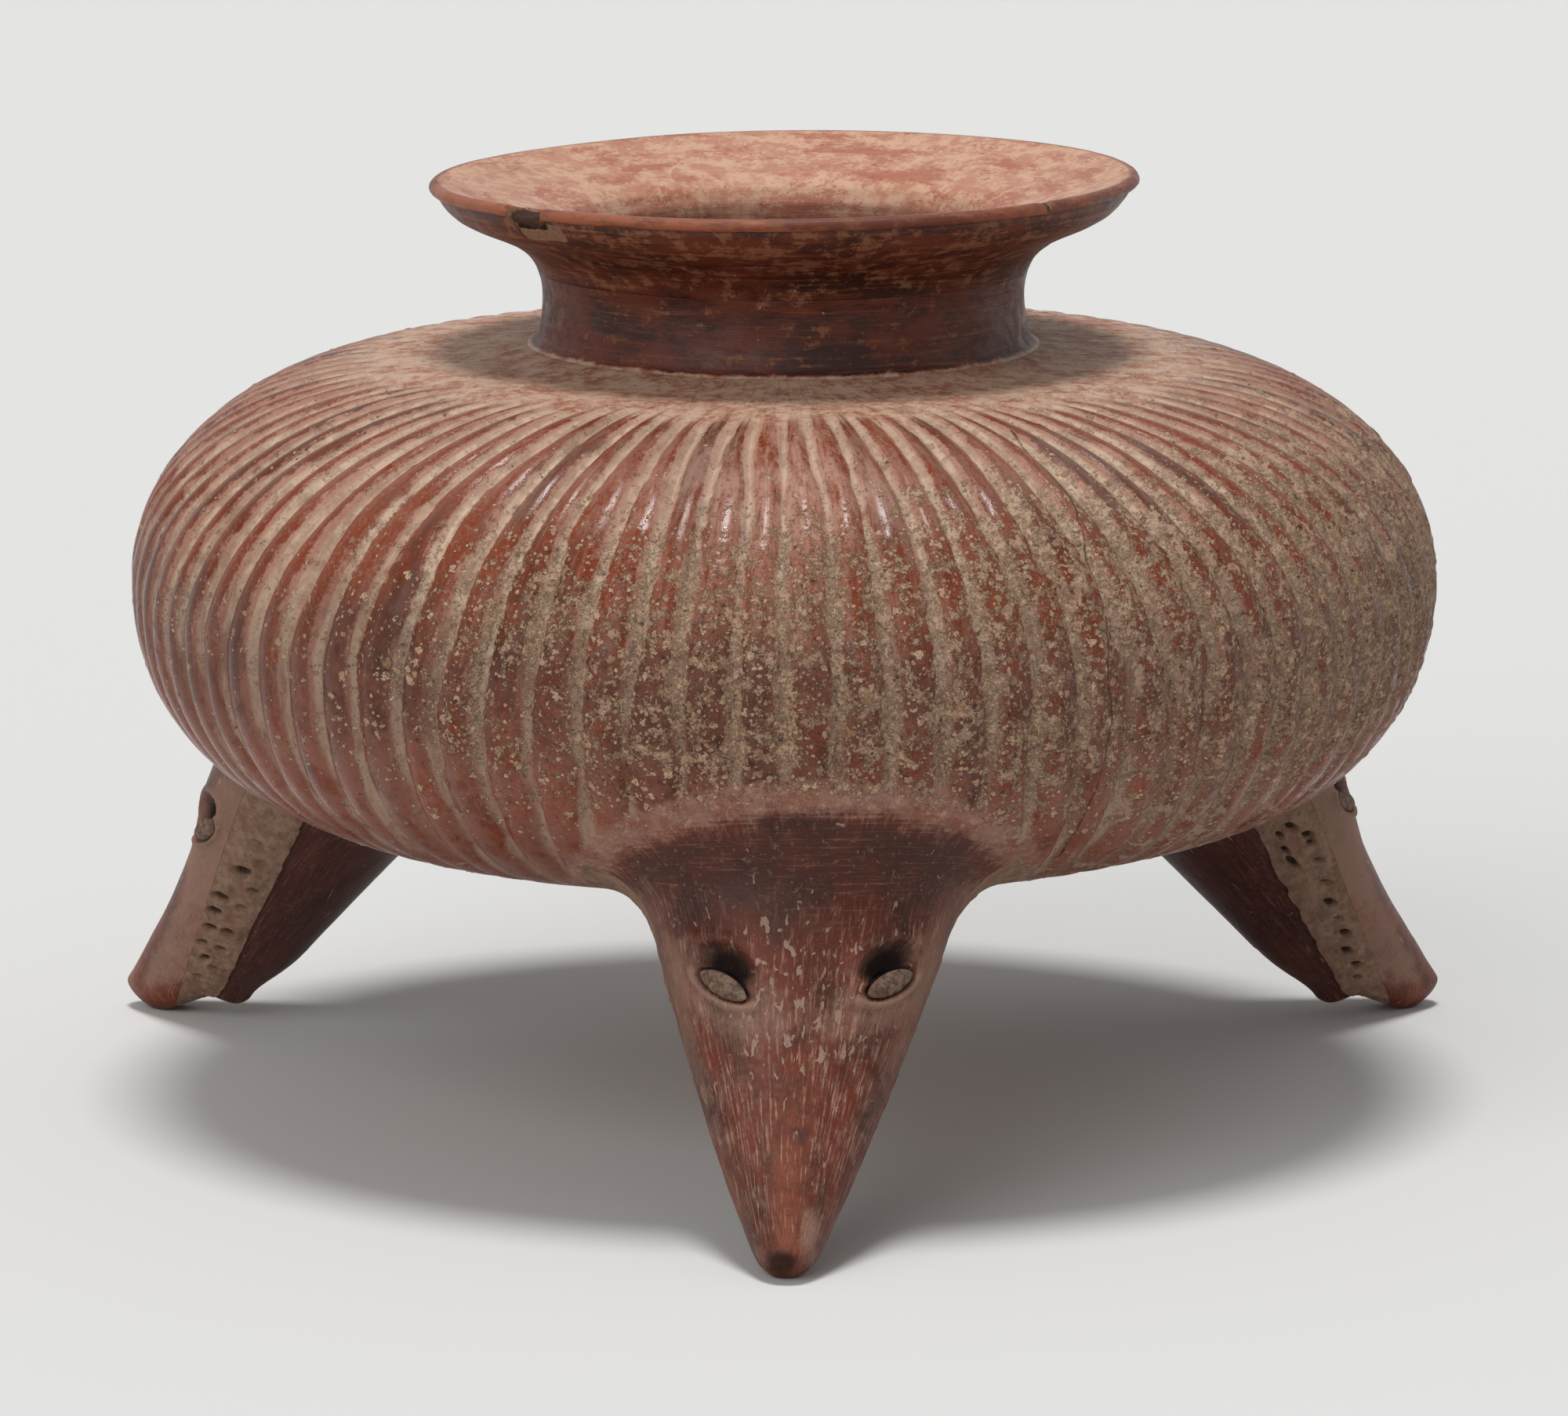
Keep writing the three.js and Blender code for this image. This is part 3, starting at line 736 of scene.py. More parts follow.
# The height at which the head's side runs into the body, for each angle round the head.
def meetingHeight(angle):
    steps = np.arange(40, archHeight * 1.05, 0.5)
    distance = bodyDistance(headPoint(steps[:, None], angle[None, :]))
    first = np.argmax(distance < 0, axis=0)
    columns = np.arange(len(angle))
    above, below = distance[first, columns], distance[first - 1, columns]
    return steps[first - 1] + 0.5 * below / (below - above)


roundAngles = np.linspace(-math.pi, math.pi, 721)
roundHeights = meetingHeight(roundAngles)
meetingLine = headPoint(roundHeights, roundAngles)


def turnedBy(points, degrees):
    cos, sin = math.cos(math.radians(degrees)), math.sin(math.radians(degrees))
    x, y = points[..., 0], points[..., 1]
    return stacked(x * cos - y * sin, x * sin + y * cos, points[..., 2])


farAway = 99.0


# How far points of the body lie outside the nearest head's root.
def clearOfHeads(points):
    clear = np.full(points.shape[:-1], farAway)
    line = meetingLine[::6]
    for degrees in jar["headAngles"].values():
        local = turnedBy(points, -degrees)
        near = (local[..., 0] > 20) & (np.abs(local[..., 1]) < 90) & (local[..., 2] < 150)
        some = local[near]
        distance = np.full(len(some), farAway)
        for start in range(0, len(line), 20):
            gap = some[:, None, :] - line[None, start:start + 20, :]
            distance = np.minimum(distance, np.sqrt((gap ** 2).sum(-1)).min(1))
        outer, inner, half, shift, middle = sectionAt(np.minimum(some[:, 2], archHeight))
        out = some[:, 0] - middle
        level = np.abs(out / reachFrom(middle, out, outer, inner)) ** head["fullness"]
        level += np.abs((some[:, 1] - shift) / half) ** head["fullness"]
        inside = (level < 1) & (some[:, 2] < archHeight + 1)
        clear[near] = np.minimum(clear[near], np.where(inside, -distance, distance))
    return clear


gadroons = {
    "count": 84,
    "columns": 16,
    "depth": 2.1,
    "leans": (0.15, 0.35),  # below and above the widest line
    "wander": 0.16,
    "uneven": 0.2,
    "latitudes": [-90, -76, -60, -45, -30, 0, 30, 64, 84, 90],
    "fade": [0, 0, 0.7, 0.9, 1, 1, 1, 0.9, 0, 0],
    "endsUneven": 5,  # degrees by which the lobes' ends differ
    "roundness": (0.55, 0.85),  # below and above the widest line
    "creaseWidth": 0.13,
    "skin": (0.12, 14),  # height and width of the hand's unevenness
    "bandLatitudes": [-90, -60, -30, 0, 25, 48, 66, 78, 87],
    "bandHalfWidth": [0.36, 0.37, 0.36, 0.31, 0.31, 0.31, 0.28, 0.2, 0],
    "bandWander": 0.05,
    "widestBand": 0.46,
    "wornWider": 0.06,
    "bandShift": 0.1,
    "rows": 92,
    "flatRows": 16,
    "innerRows": 20,
    "crackAzimuth": -62,
    "crackWander": 1.6,
    "farFromCrack": 0.03,
}
crust = {
    "azimuth": -48,
    "least": 0.12,
    "grain": 3.4,
    "seldom": 0.55,
    "height": 0.3,
    "limeAzimuth": -12,
    "limeLeast": 0.12,
}


# A share of least or more, 1 towards an azimuth.
def facing(points, azimuth, least, low, high):
    away = np.arctan2(points[..., 1], points[..., 0]) - math.radians(azimuth)
    return mixed(least, 1, eased(np.cos(away), low, high))


# Lime and grit: thickest round the front and right of the widest line.
def crustZone(points, latitude, clear):
    density = facing(points, crust["azimuth"], crust["least"], -0.1, 0.6)
    top = 12 + 26 * density
    band = between(latitude, -48, -12, top - 16, top + 18)
    patches = 1 + 0.6 * clayNoise(points, 24, 5, 3)
    return np.clip(density * band * patches, 0, 1) * eased(clear, 4, 18)


# A pale cover over the whole right side.
def limeAmount(points, latitude):
    density = facing(points, crust["limeAzimuth"], crust["limeLeast"], -0.2, 0.75)
    band = 1 - eased(latitude, 44, 66) * 0.8
    return np.clip(density * band * (1 + 0.4 * clayNoise(points, 30, 6, 3)), 0, 1)


def flakesOf(points, zone):
    start = mixed(crust["seldom"], 0, zone)
    return eased(clayNoise(points, crust["grain"], 31, 2), start, start + 0.25)


# The leaned, wandering lobes at the given latitudes, with the marks that the slip needs.
def lobedSurface(latitude, radius, height, along):
    count = gadroons["count"]
    turns = np.arange(count * gadroons["columns"]) / gadroons["columns"]
    lobe = np.floor(turns).astype(int)
    phase = (turns - lobe)[None, :]
    base = (turns / count * 2 * math.pi)[None, :]
    lat, radius, height, along = (values[:, None] for values in (latitude, radius, height, along))
    plan = polar(20, aroundAngles(count), lat / 28)

    def perLine(seed, finer=1):
        values = clayNoise(plan * [1, 1, finer], 1, seed)
        return mixed(values[:, lobe], values[:, (lobe + 1) % count], phase)

    lean = np.where(lat > 0, gadroons["leans"][1], gadroons["leans"][0])
    meanRadius = (bellyWidth + jar["shoulderRise"]) / 2
    pull = -lean * np.radians(lat) * meanRadius / np.maximum(radius, 60) * np.sin(base - frontAngle)
    azimuth = base + pull + perLine(21) * gadroons["wander"] * 2 * math.pi / count
    crest = polar(radius, azimuth, height)
    clear = clearOfHeads(crest) if latitude.min() < -1 else np.full(azimuth.shape, farAway)

    ends = perLine(22) * gadroons["endsUneven"]
    fade = np.interp(lat + ends, gadroons["latitudes"], gadroons["fade"])
    fade = fade * eased(clear, head["fillet"] - 1, head["fillet"] + 9)
    depth = gadroons["depth"] * fade * (1 + gadroons["uneven"] * perLine(23))
    roundness, crease = mixed(*gadroons["roundness"], eased(lat, -30, 30)), gadroons["creaseWidth"]
    lobeHeight = (np.sin(np.pi * phase) ** 2 + crease ** 2) ** (roundness / 2) - crease ** roundness
    lobeHeight = lobeHeight / ((1 + crease ** 2) ** (roundness / 2) - crease ** roundness)
    zone = crustZone(crest, lat, clear)
    relief = crust["height"] * flakesOf(crest, zone) - depth * (1 - lobeHeight)
    skinHeight, skinWidth = gadroons["skin"]
    relief = relief + skinHeight * clayNoise(crest, skinWidth, 32, 2)
    slope = np.radians(lat)
    points = crest + relief[..., None] * polar(np.cos(slope), azimuth, np.sin(slope))

    # The red band lies off the crest, towards the side; a rosy film blurs its inner edge.
    aside = np.tanh(2.5 * np.sin(base - frontAngle)) * (1 - 0.5 * faded(lat, -25, 0))
    sideways = np.abs(aside)
    across = (phase - gadroons["bandShift"] * aside - gadroons["bandWander"] * perLine(26, 3)) % 1 - 0.5
    halfWidth = np.interp(lat + ends * 0.8, gadroons["bandLatitudes"], gadroons["bandHalfWidth"])
    worn = (1 - sideways) * eased(lat, -8, 12) * (1 - 0.5 * eased(lat, 44, 62))
    uneven = 1 + 0.25 * perLine(24) + 0.22 * perLine(25, 4)
    halfWidth = np.minimum(halfWidth * uneven + gadroons["wornWider"] * worn, gadroons["widestBand"])
    inner = -across * np.sign(aside)
    blur = eased(inner, 0, 0.1) * sideways
    beyond = np.abs(across) - halfWidth
    room = 0.5 - np.minimum(halfWidth, 0.4)
    oneSided = np.clip(1 - (inner - halfWidth) / room, 0, 1) * (inner > 0)
    away = azimuth - math.radians(gadroons["crackAzimuth"])
    wander = gadroons["crackWander"] * clayNoise(stacked(0, 0, lat), 14, 41, 3)
    crack = inMetres(np.clip(np.arctan2(np.sin(away), np.cos(away)) * radius + wander, -30, 30))
    return points, {
        "groove": 0.5 + (beyond + 0.02 * blur) * mixed(3.4, 1.7, blur),
        "rose": mixed(0.6 * np.clip(1 - beyond / room, 0, 1), oneSided, sideways),
        "plain": np.clip(1 - fade * 1.6, 0, 1) * faded(fade, 0.5, 0.9),
        "zone": zone,
        "lime": limeAmount(crest, lat),
        "worn": worn,
        # Where the pale film and the painted sheen lie: the upper lobes at the front and back.
        "bloomAndSheen": (1 - 0.8 * sideways) * eased(lat, 26, 46) * (1 - 0.6 * eased(lat, 66, 80)),
        # A band round the widest line, darkened as soot and as painted shade.
        "sootAndShade": between(lat, -26, -4, 6, 24) + 0 * base,
        "crack": np.where((lat > 70) | (lat < -52), gadroons["farFromCrack"], crack),
        "flow": inMetres(polar(jar["radius"], base, along)),
    }


insideMarks = {
    "groove": 0.3, "rose": 0.3, "plain": 0.6, "zone": 0.0, "lime": 0.0,
    "worn": 0.3, "bloomAndSheen": 0.0, "sootAndShade": 0.4, "crack": gadroons["farFromCrack"],
}


# Faces that join the row of points from number last on to the first row.
def jointFaces(last, columns, flip=False):
    here = np.arange(columns)
    after = (here + 1) % columns
    faces = np.stack([last + here, last + after, after, here], -1)
    return (faces[:, ::-1] if flip else faces).tolist()


# One bowl: its lobed outside from the widest line on, then its inside back to that line.
def bowlPiece(name, latitudes, flatRadii, flatHeights, innerLine, node):
    radius, height = roundPoint(latitudes)
    line = np.vstack([np.stack([radius, height], -1), np.stack([flatRadii, flatHeights], -1)])
    latitude = np.r_[latitudes, np.full(len(flatRadii), latitudes[-1])]
    along = lengthsAlong(line) * np.sign(latitudes[-1])
    points, marks = lobedSurface(latitude, line[:, 0], line[:, 1], along)
    rows, columns = points.shape[:2]
    inner = flattened(polar(innerLine[:, :1], aroundAngles(columns), innerLine[:, 1:]))
    below = latitudes[-1] < 0
    poles = np.array([[0, 0, line[-1, 1]], [0, 0, innerLine[0, 1]]]) if below else np.zeros((0, 3))
    whole = np.vstack([flattened(points), inner, poles])
    marks = {key: flattened(values) for key, values in marks.items()}
    for key, value in insideMarks.items():
        marks[key] = np.r_[marks[key], np.full(len(inner) + len(poles), value)]
    marks["flow"] = np.vstack([marks["flow"], inMetres(inner), inMetres(poles)])
    outerCount = rows * columns
    if below:
        faces = gridFaces(rows, columns, True, 0, True)
        faces += gridFaces(len(innerLine), columns, True, outerCount, True)
        faces += fanFaces(np.arange(columns) + outerCount - columns, len(whole) - 2, True)
        faces += fanFaces(np.arange(columns) + outerCount, len(whole) - 1)
    else:
        faces = gridFaces(rows + len(innerLine), columns, True)
    faces += jointFaces(outerCount + len(inner) - columns, columns, below)
    makePiece(name, whole, faces, marks, node, bodyClay)


# The bowls' inner line: from an edge at a radius and height out to the widest line.
def innerLineOf(edge, latitudes):
    return np.vstack([edge, np.stack(roundPoint(latitudes, jar["wall"]), -1)])


crownHeight = jar["widestHeight"] + jar["shoulderRise"]
topRadii = np.linspace(jar["roundCentre"], jar["throat"], gadroons["flatRows"] + 1)[1:]
topHeights = crownHeight + jar["topRise"] * np.clip((90 - topRadii) / 23.3, 0, 1) ** 2
innerLatitudes = np.maximum(np.linspace(90, 0, gadroons["innerRows"]), 0.01)
innerLine = innerLineOf([jar["throat"], crownHeight - jar["wall"]], innerLatitudes)
bowlPiece("shoulderBowl", np.linspace(0, 90, gadroons["rows"]), topRadii, topHeights, innerLine,
          "shoulder_bowl")
floorHeight = jar["widestHeight"] - jar["bellyDrop"]
floorRadii = np.linspace(jar["roundCentre"], 5, gadroons["flatRows"] + 1)[1:]
innerLatitudes = -np.linspace(90, 0.0001, gadroons["innerRows"])
floorHeights = np.full(len(floorRadii), floorHeight)
innerLine = innerLineOf([5, floorHeight + jar["wall"]], innerLatitudes)
bowlPiece("bellyBowl", np.linspace(-0.0001, -90, gadroons["rows"]), floorRadii, floorHeights, innerLine,
          "base_bowl")
print("shoulder and belly are modelled")


neck = {
    "columns": 420,
    "spacing": 0.5,
    "softness": 0.9,
    "collarOuter": [
        (65.6, 193), (63.9, 193.8), (62.6, 195.2), (61.7, 198), (61.1, 202), (60.9, 206), (61.2, 209.4),
        (61.9, 212.2),
    ],
    "collarInner": [(54.4, 212.2), (54.4, 193.4)],
    "rimOuter": [
        (61.9, 212.2), (62.8, 214.2), (64, 216.2), (66, 218.2), (69.2, 220.4), (73.6, 222.4), (78.4, 224.3),
        (82.2, 226.3), (84.8, 228.6), (86.4, 230.8), (87.1, 232.1), (86.9, 232.8),
    ],
    "rimInner": [
        (84.2, 235.1), (78, 232.9), (68, 229.9), (60.5, 227.4), (56.6, 225), (54.6, 221), (54.4, 212.2),
    ],
    "lipOuter": [
        (86.9, 232.8), (88, 232.6), (89, 233.2), (89.4, 234.2), (89, 235.2), (88, 235.8), (86.6, 235.8),
        (84.2, 235.1),
    ],
    "lipInner": [(84.6, 233.6)],
    "lipRadius": 88,
    "lipRadii": (84, 86.5),
    "lipHeights": (229.5, 232),
    "chipAzimuth": -136.4,
    "chipHalfLength": 6.2,
    "chipDepths": (2.3, 1.7),  # inwards and down
    "scarShift": 3,
    "scarHalfLength": 8.5,
    "scarDepth": 0.55,
    "nickAzimuth": -42.9,
    "nickHalfLength": 1.8,
    "nickDepths": (0.6, 0.8),  # inwards and down
    "brokenEdge": 1.2,
    "wheelLines": (0.09, 1.7),  # height and width
    "dents": (0.25, 9),  # height and width
}


# Two lines, soft in themselves, joined by straight joint faces and turned about the axis.
def turnedPiece(name, outer, inner, node):
    lines = [
        softLine(points, neck["spacing"], neck["softness"]) if len(points) > 1 else np.array(points, float)
        for points in (neck[outer], neck[inner])
    ]
    line = np.vstack(lines)
    lineRadius, lineHeight = line[:, :1], line[:, 1:]
    isInner = np.repeat([0.0, 1.0], [len(lines[0]), len(lines[1])])[:, None]
    columns = neck["columns"]
    angle = aroundAngles(columns)
    points = polar(lineRadius, angle, lineHeight)
    radial = polar(1, angle, 0)[None]
    dentHeight, dentWidth = neck["dents"]
    lineDepth, lineWidth = neck["wheelLines"]
    rough = dentHeight * clayNoise(points, dentWidth, 61, 3)
    rough = rough + lineDepth * clayNoise(points * [0.08, 0.08, 1], lineWidth, 62, 2)
    points = points + radial * (rough * eased(points[..., 2], 193, 197))[..., None]

    def arcFrom(azimuth):
        away = (angle - math.radians(azimuth) + math.pi) % (2 * math.pi) - math.pi
        return away[None] * neck["lipRadius"]

    arc = arcFrom(neck["chipAzimuth"])
    ragged = 1.4 * clayNoise(points, 3, 63, 3)
    upper = eased(lineRadius, *neck["lipRadii"]) * eased(lineHeight, *neck["lipHeights"])
    half, soft = neck["chipHalfLength"], neck["brokenEdge"]
    bite = faded(np.abs(arc + ragged), half - soft, half) * upper
    half = neck["nickHalfLength"]
    nick = faded(np.abs(arcFrom(neck["nickAzimuth"])), half - soft, half)
    nick = nick * upper * eased(lineHeight, 232, 235)
    broken = 1 + 0.5 * clayNoise(points, 2.2, 64, 3)
    chipIn, chipDown = neck["chipDepths"]
    nickIn, nickDown = neck["nickDepths"]
    points[..., 2] -= chipDown * bite * broken + nickDown * nick
    points = points - radial * (chipIn * bite * broken + nickIn * nick)[..., None]
    half = neck["scarHalfLength"]
    scar = faded(np.abs(arc - neck["scarShift"] + ragged * 0.7), half - 1.5, half) * (1 - isInner)
    scar = scar * eased(points[..., 2] + ragged * 0.5, 226.5, 228) * faded(lineHeight, 230.5, 233)
    points = points - radial * (neck["scarDepth"] * scar)[..., None]

    onLip = float(outer == "lipOuter")
    along = lengthsAlong(line)[:, None]
    even = 0 * angle
    marks = {
        "scar": np.clip(bite * 1.4 + nick + scar, 0, 1.2),
        "deep": np.clip(bite + nick, 0, 1),
        "dust": 0.12 + 0.35 * eased(lineHeight, 205, 222) * (1 - isInner) + even,
        "inside": mixed(isInner * eased(lineHeight, 205, 226), faded(lineRadius, 86, 88), onLip) + even,
        "bead": onLip * eased(lineRadius, 86.4, 87.8) + even,
        "foot": eased(lineRadius, 62.6, 65.2) * (lineHeight < 205) + even,
        "flow": inMetres(polar(75, angle, along + 300 * isInner)),
    }
    rows = len(line)
    faces = gridFaces(rows, columns, True) + jointFaces((rows - 1) * columns, columns)
    makePiece(name, points, faces, marks, node, turnedClay)


turnedPiece("neckCollar", "collarOuter", "collarInner", "neck_collar")
turnedPiece("flaredRim", "rimOuter", "rimInner", "flared_rim")
turnedPiece("lipCoil", "lipOuter", "lipInner", "lip_coil")
print("neck, rim and lip are modelled")

face = {
    "eyeDrops": {"front": 33.5, "left": 40, "right": 33.5},
    "eyeTilt": 27,
    "eyeOffsets": {"front": (-18.3, 21.6), "left": (-22, 26), "right": (-25, 22)},
    "lens": (7.2, 2.7, 1.2),  # half length, half width and rise
    "lensBuried": 1.2,
    "lensSink": 0.75,
    "lensRows": 26,
    "lensColumns": 22,
    "hollow": (9.2, 4.9, 4.2),  # half length, half width and depth
    "hollowPlace": (1.8, 4.6),
    "lid": 0.9,
    "brow": 0.6,
    "socketDepth": 1.2,
    "punchDepth": 2.1,
    "punchRim": 0.25,
    "edges": {  # setbacks at the tip and the arch, wander and seed
        "jaw": (29.4, 55.6, 0.03, 130),
        "band": (18.8, 30.6, 0.014, 131),
    },
    "footReach": [158, 163, 166.5, 169.5, 172.5, 176, 182, 187, 192, 195, 198, 201, 204],
    "footRise": [5, 3.6, 3.0, 4.2, 5.6, 5.2, 2.4, 0.5, 0, 0.4, 1.6, 3.1, 4.4],
}
# Each mark: height, share across the band, half length, half width and depth.
pitMarks = {
    "slanting": [
        (56, 0.5, 2.6, 1.1, 0.5), (46.9, 0.56, 3, 1.6, 1), (38.4, 0.76, 2.8, 1.3, 1),
        (33.7, 0.78, 2.6, 1.3, 1), (28.5, 0.76, 2.2, 1.2, 1), (23.6, 0.84, 1.8, 1, 0.7),
        (19, 0.68, 1.5, 1.1, 1), (50, 0.3, 2.6, 1, 0.4), (41.4, 0.25, 2.4, 1, 0.6),
        (36, 0.32, 2.4, 0.9, 0.5), (27.9, 0.39, 2.2, 1.1, 0.8), (22.3, 0.42, 2.2, 1, 0.8),
        (16, 0.42, 2, 0.9, 0.6), (12.5, 0.66, 1.8, 0.9, 0.5),
    ],
    "round": [
        (60, 0.5, 1.5, 1.3, 1), (58, 0.28, 1.2, 1, 0.9), (57, 0.68, 1.6, 1.3, 1),
        (53.6, 0.26, 1.3, 1, 1), (54.6, 0.68, 1.5, 1, 0.8), (49.7, 0.3, 2.3, 1.2, 1),
        (49.2, 0.7, 1.8, 0.8, 0.6), (42.5, 0.66, 1.9, 0.9, 0.7), (36.4, 0.6, 1.7, 1.4, 1),
        (31, 0.64, 1.6, 0.9, 0.6), (26.7, 0.66, 1.7, 1.3, 0.9), (21.3, 0.55, 1.7, 1.3, 1),
        (16.4, 0.6, 1.8, 1.1, 1), (12, 0.5, 1.5, 0.9, 0.7),
    ],
}
footLine = softLine(np.stack([face["footReach"], face["footRise"]], -1), 0.5, 1.5)
placeNumbers = {place: number for number, place in enumerate(jar["headAngles"])}


# The edge of a band on one side, as an angle for each height: a straight line, cut by hand.
def edgeOf(kind, number, side):
    tipSetback, archSetback, wander, firstSeed = face["edges"][kind]
    seed = firstSeed + 10 * number + 2 * side

    def angleAt(height):
        line = mixed(snoutReach - tipSetback, archRadius - archSetback, height / archHeight)
        unsteady = clayNoise(stacked(0, 0, height) + 60 * seed, 3.2, seed, 3)
        return side * (angleAtReach(height, line) + wander * unsteady * eased(height, 3, 9))

    return angleAt


def meetingAt(angle):
    return np.interp((angle + math.pi) % (2 * math.pi) - math.pi, roundAngles, roundHeights)


def headNormal(height, angle, points):
    outer, inner, half, shift, middle = sectionAt(height)
    out, side = points[..., 0] - middle, (points[..., 1] - shift) / half
    reach = reachFrom(middle, out, outer, inner)
    power = head["fullness"] - 1
    flat = unit(stacked(signedPower(out / reach, power) / reach, signedPower(side, power) / half, 0 * out))
    higher = headPoint(height + 0.5, angle) - headPoint(height - 0.5, angle)
    flat[..., 2] = -(higher * flat).sum(-1)
    return unit(flat)


# How a fillet lifts points off a surface, leaning over to the other surface's normal.
def filletPush(normal, otherNormal, share):
    towards = mixed(normal, otherNormal, share[..., None] / 2)
    return towards * (head["fillet"] / 4 * share ** 2 / (towards ** 2).sum(-1))[..., None]


# A head's side at a height, drawn out into a smooth cove where it nears the body.
def sidePoints(height, angle):
    points = headPoint(height, angle)
    normal = headNormal(height, angle, points)
    share = np.clip(1 - np.maximum(bodyDistance(points), 0) / head["fillet"], 0, 1)
    return points + filletPush(normal, bodyNormal(points), share), normal, share


# The cove's rows that run out over the body's surface, from the meeting line.
def skirtPoints(spread, angle):
    height = meetingAt(angle)
    points = headPoint(height, angle)
    normal = headNormal(height, angle, points)
    bodyOut = bodyNormal(points)
    away = unit(normal - (normal * bodyOut).sum(-1, keepdims=True) * bodyOut)
    points = points + away * (spread * head["fillet"])[..., None]
    for _ in range(4):
        points = points - bodyNormal(points) * bodyDistance(points)[..., None]
    bodyOut = bodyNormal(points)
    points = points + filletPush(bodyOut, normal, np.clip(1 - spread, 0, 1))
    return points - bodyOut * (np.maximum(spread - 1, 0) * 12)[..., None], bodyOut


# The middle and the three directions of an eye on one side of a head.
def eyePlace(offset, place):
    height = archHeight - face["eyeDrops"][place]

    def surface(level, across):
        outer, _, half, shift, middle = sectionAt(level)
        out = (1 - np.clip(abs(across) / half, 0, 1) ** head["fullness"]) ** (1 / head["fullness"])
        return np.array([middle + (outer - middle) * out, shift + across, level])

    centre = surface(height, offset)
    side = math.copysign(1, offset)
    along = unit(surface(height, offset + side * 2) - centre)
    up = unit(surface(height + 3, offset) - centre)
    out = unit(np.cross(along, up) * side)
    tilt = math.radians(face["eyeTilt"])
    long = unit(np.cross(up, out) * side * math.cos(tilt) + up * math.sin(tilt))
    short = np.cross(out, long)
    return centre, long, short * (1 if short[2] > 0 else -1), out


# Sockets, lids and the hollows above them, as a height along the surface and its marks: pale dust with a
# painted highlight on the lids, and painted shade in the hollows and on the sockets' upper edges.
def faceRelief(points, place):
    relief = 0.1 * clayNoise(points + 400 * (1 + placeNumbers[place]), 7, 71, 3)
    dust, pit = np.zeros((2, *points.shape[:-1]))
    halfLong, halfShort = face["lens"][:2]
    hollowLong, hollowShort, hollowDepth = face["hollow"]
    for offset in face["eyeOffsets"][place]:
        centre, long, short, out = eyePlace(offset, place)
        gap = points - centre
        a, b = gap @ long, gap @ short
        near = np.exp(-(gap @ out / 9) ** 2)
        socket = np.hypot(a / (halfLong + 0.8), b / (halfShort + 0.6))
        lid = np.exp(-((socket - 1.2) / 0.17) ** 2) * faded(b, -0.8, 1.2)
        shiftLong, shiftShort = face["hollowPlace"]
        hollow = np.hypot((a - shiftLong) / hollowLong, (b - shiftShort) / hollowShort)
        bowl = np.clip(1 - hollow ** 2, 0, 1) ** 0.7 * eased(b, halfShort - 1.4, halfShort + 0.3)
        brow = np.exp(-((hollow - 1.2) / 0.2) ** 2) * eased(b - shiftShort, 0, 3)
        sunk = hollowDepth * bowl + face["socketDepth"] * faded(socket, 0.8, 1.02)
        relief += near * (face["lid"] * lid + face["brow"] * brow - sunk)
        around = 0.5 if place == "front" else 0.8
        # Pale dust round each socket; on the lid the pale is a painted highlight.
        dust += near * (around * np.exp(-((socket - 1.8) / 1.2) ** 2) + 0.6 * lid)
        # pit: painted shade in the hollow above each eye and along the socket's upper edge.
        pit += near * np.clip(bowl * 1.25, 0, 1) ** 1.3 * 0.95
        pit += near * faded(socket, 0.94, 1.06) * mixed(0.35, 0.9, eased(b, -0.5, 1.5))
    return relief, dust, np.clip(pit, 0, 1)


# Holes and slanting dents pressed into the bare band, and how dark each is.
def bandRelief(side, height, across, pattern, seed):
    width = np.linalg.norm(side[:, -1] - side[:, 0], axis=-1)[:, None]
    edge = np.minimum(across, 1 - across) * width
    bandTop = archHeight - head["bandTopDrop"]
    relief = (0.7 - 0.8 * eased(across, 0.1, 0.95)) * faded(height, bandTop + 4, bandTop + 20)
    relief = relief + 0.35 * clayNoise(side + 50 * seed, 3.5, seed, 3) * eased(edge, 0, 1)
    pit = 0 * relief
    for markHeight, markShare, halfLong, halfShort, markDepth in pitMarks[pattern]:
        dx, dz = (across - markShare) * width, height - markHeight
        tilt = math.radians(-20 if pattern == "slanting" else 10 + 50 * (markShare < 0.4))
        cos, sin = math.cos(tilt), math.sin(tilt)
        hole = np.hypot((dx * cos - dz * sin) / halfLong, (dx * sin + dz * cos) / halfShort)
        relief -= face["punchDepth"] * markDepth * faded(hole, 0.35, 1.15)
        relief += face["punchRim"] * markDepth * np.exp(-((hole - 1.35) / 0.3) ** 2)
        pit = np.maximum(pit, markDepth * faded(hole, 0.3, 1.1))
    return relief, pit


# The notch of the mouth and the blunt tips, for points near the floor.
def footed(points):
    height = points[..., 2]
    shift, middle = sectionAt(height)[3:]
    tuck = 1 - head["tipTuck"] * np.clip(1 - height / head["tuckBelow"], 0, 1) ** 2.2
    x = middle + (points[..., 0] - middle) * mixed(1, tuck, 0.7)
    rise = np.interp(x, footLine[:, 0], footLine[:, 1])
    y = shift + (points[..., 1] - shift) * tuck
    return stacked(x, y, height + rise * np.clip(1 - height / head["notchBelow"], 0, 1) ** 2)


# Faces of a shell: an outer and an inner grid joined along their four borders.
def shellFaces(rows, columns):
    count = rows * columns
    faces = gridFaces(rows, columns, False) + gridFaces(rows, columns, False, count, True)
    grid = np.arange(count).reshape(rows, columns)
    for border, turnedOver in ((grid[0], True), (grid[-1], False), (grid[:, 0], False), (grid[:, -1], True)):
        here, after = border[:-1], border[1:]
        strip = np.stack([here, after, after + count, here + count], -1)
        faces += (strip[:, ::-1] if turnedOver else strip).tolist()
    return faces


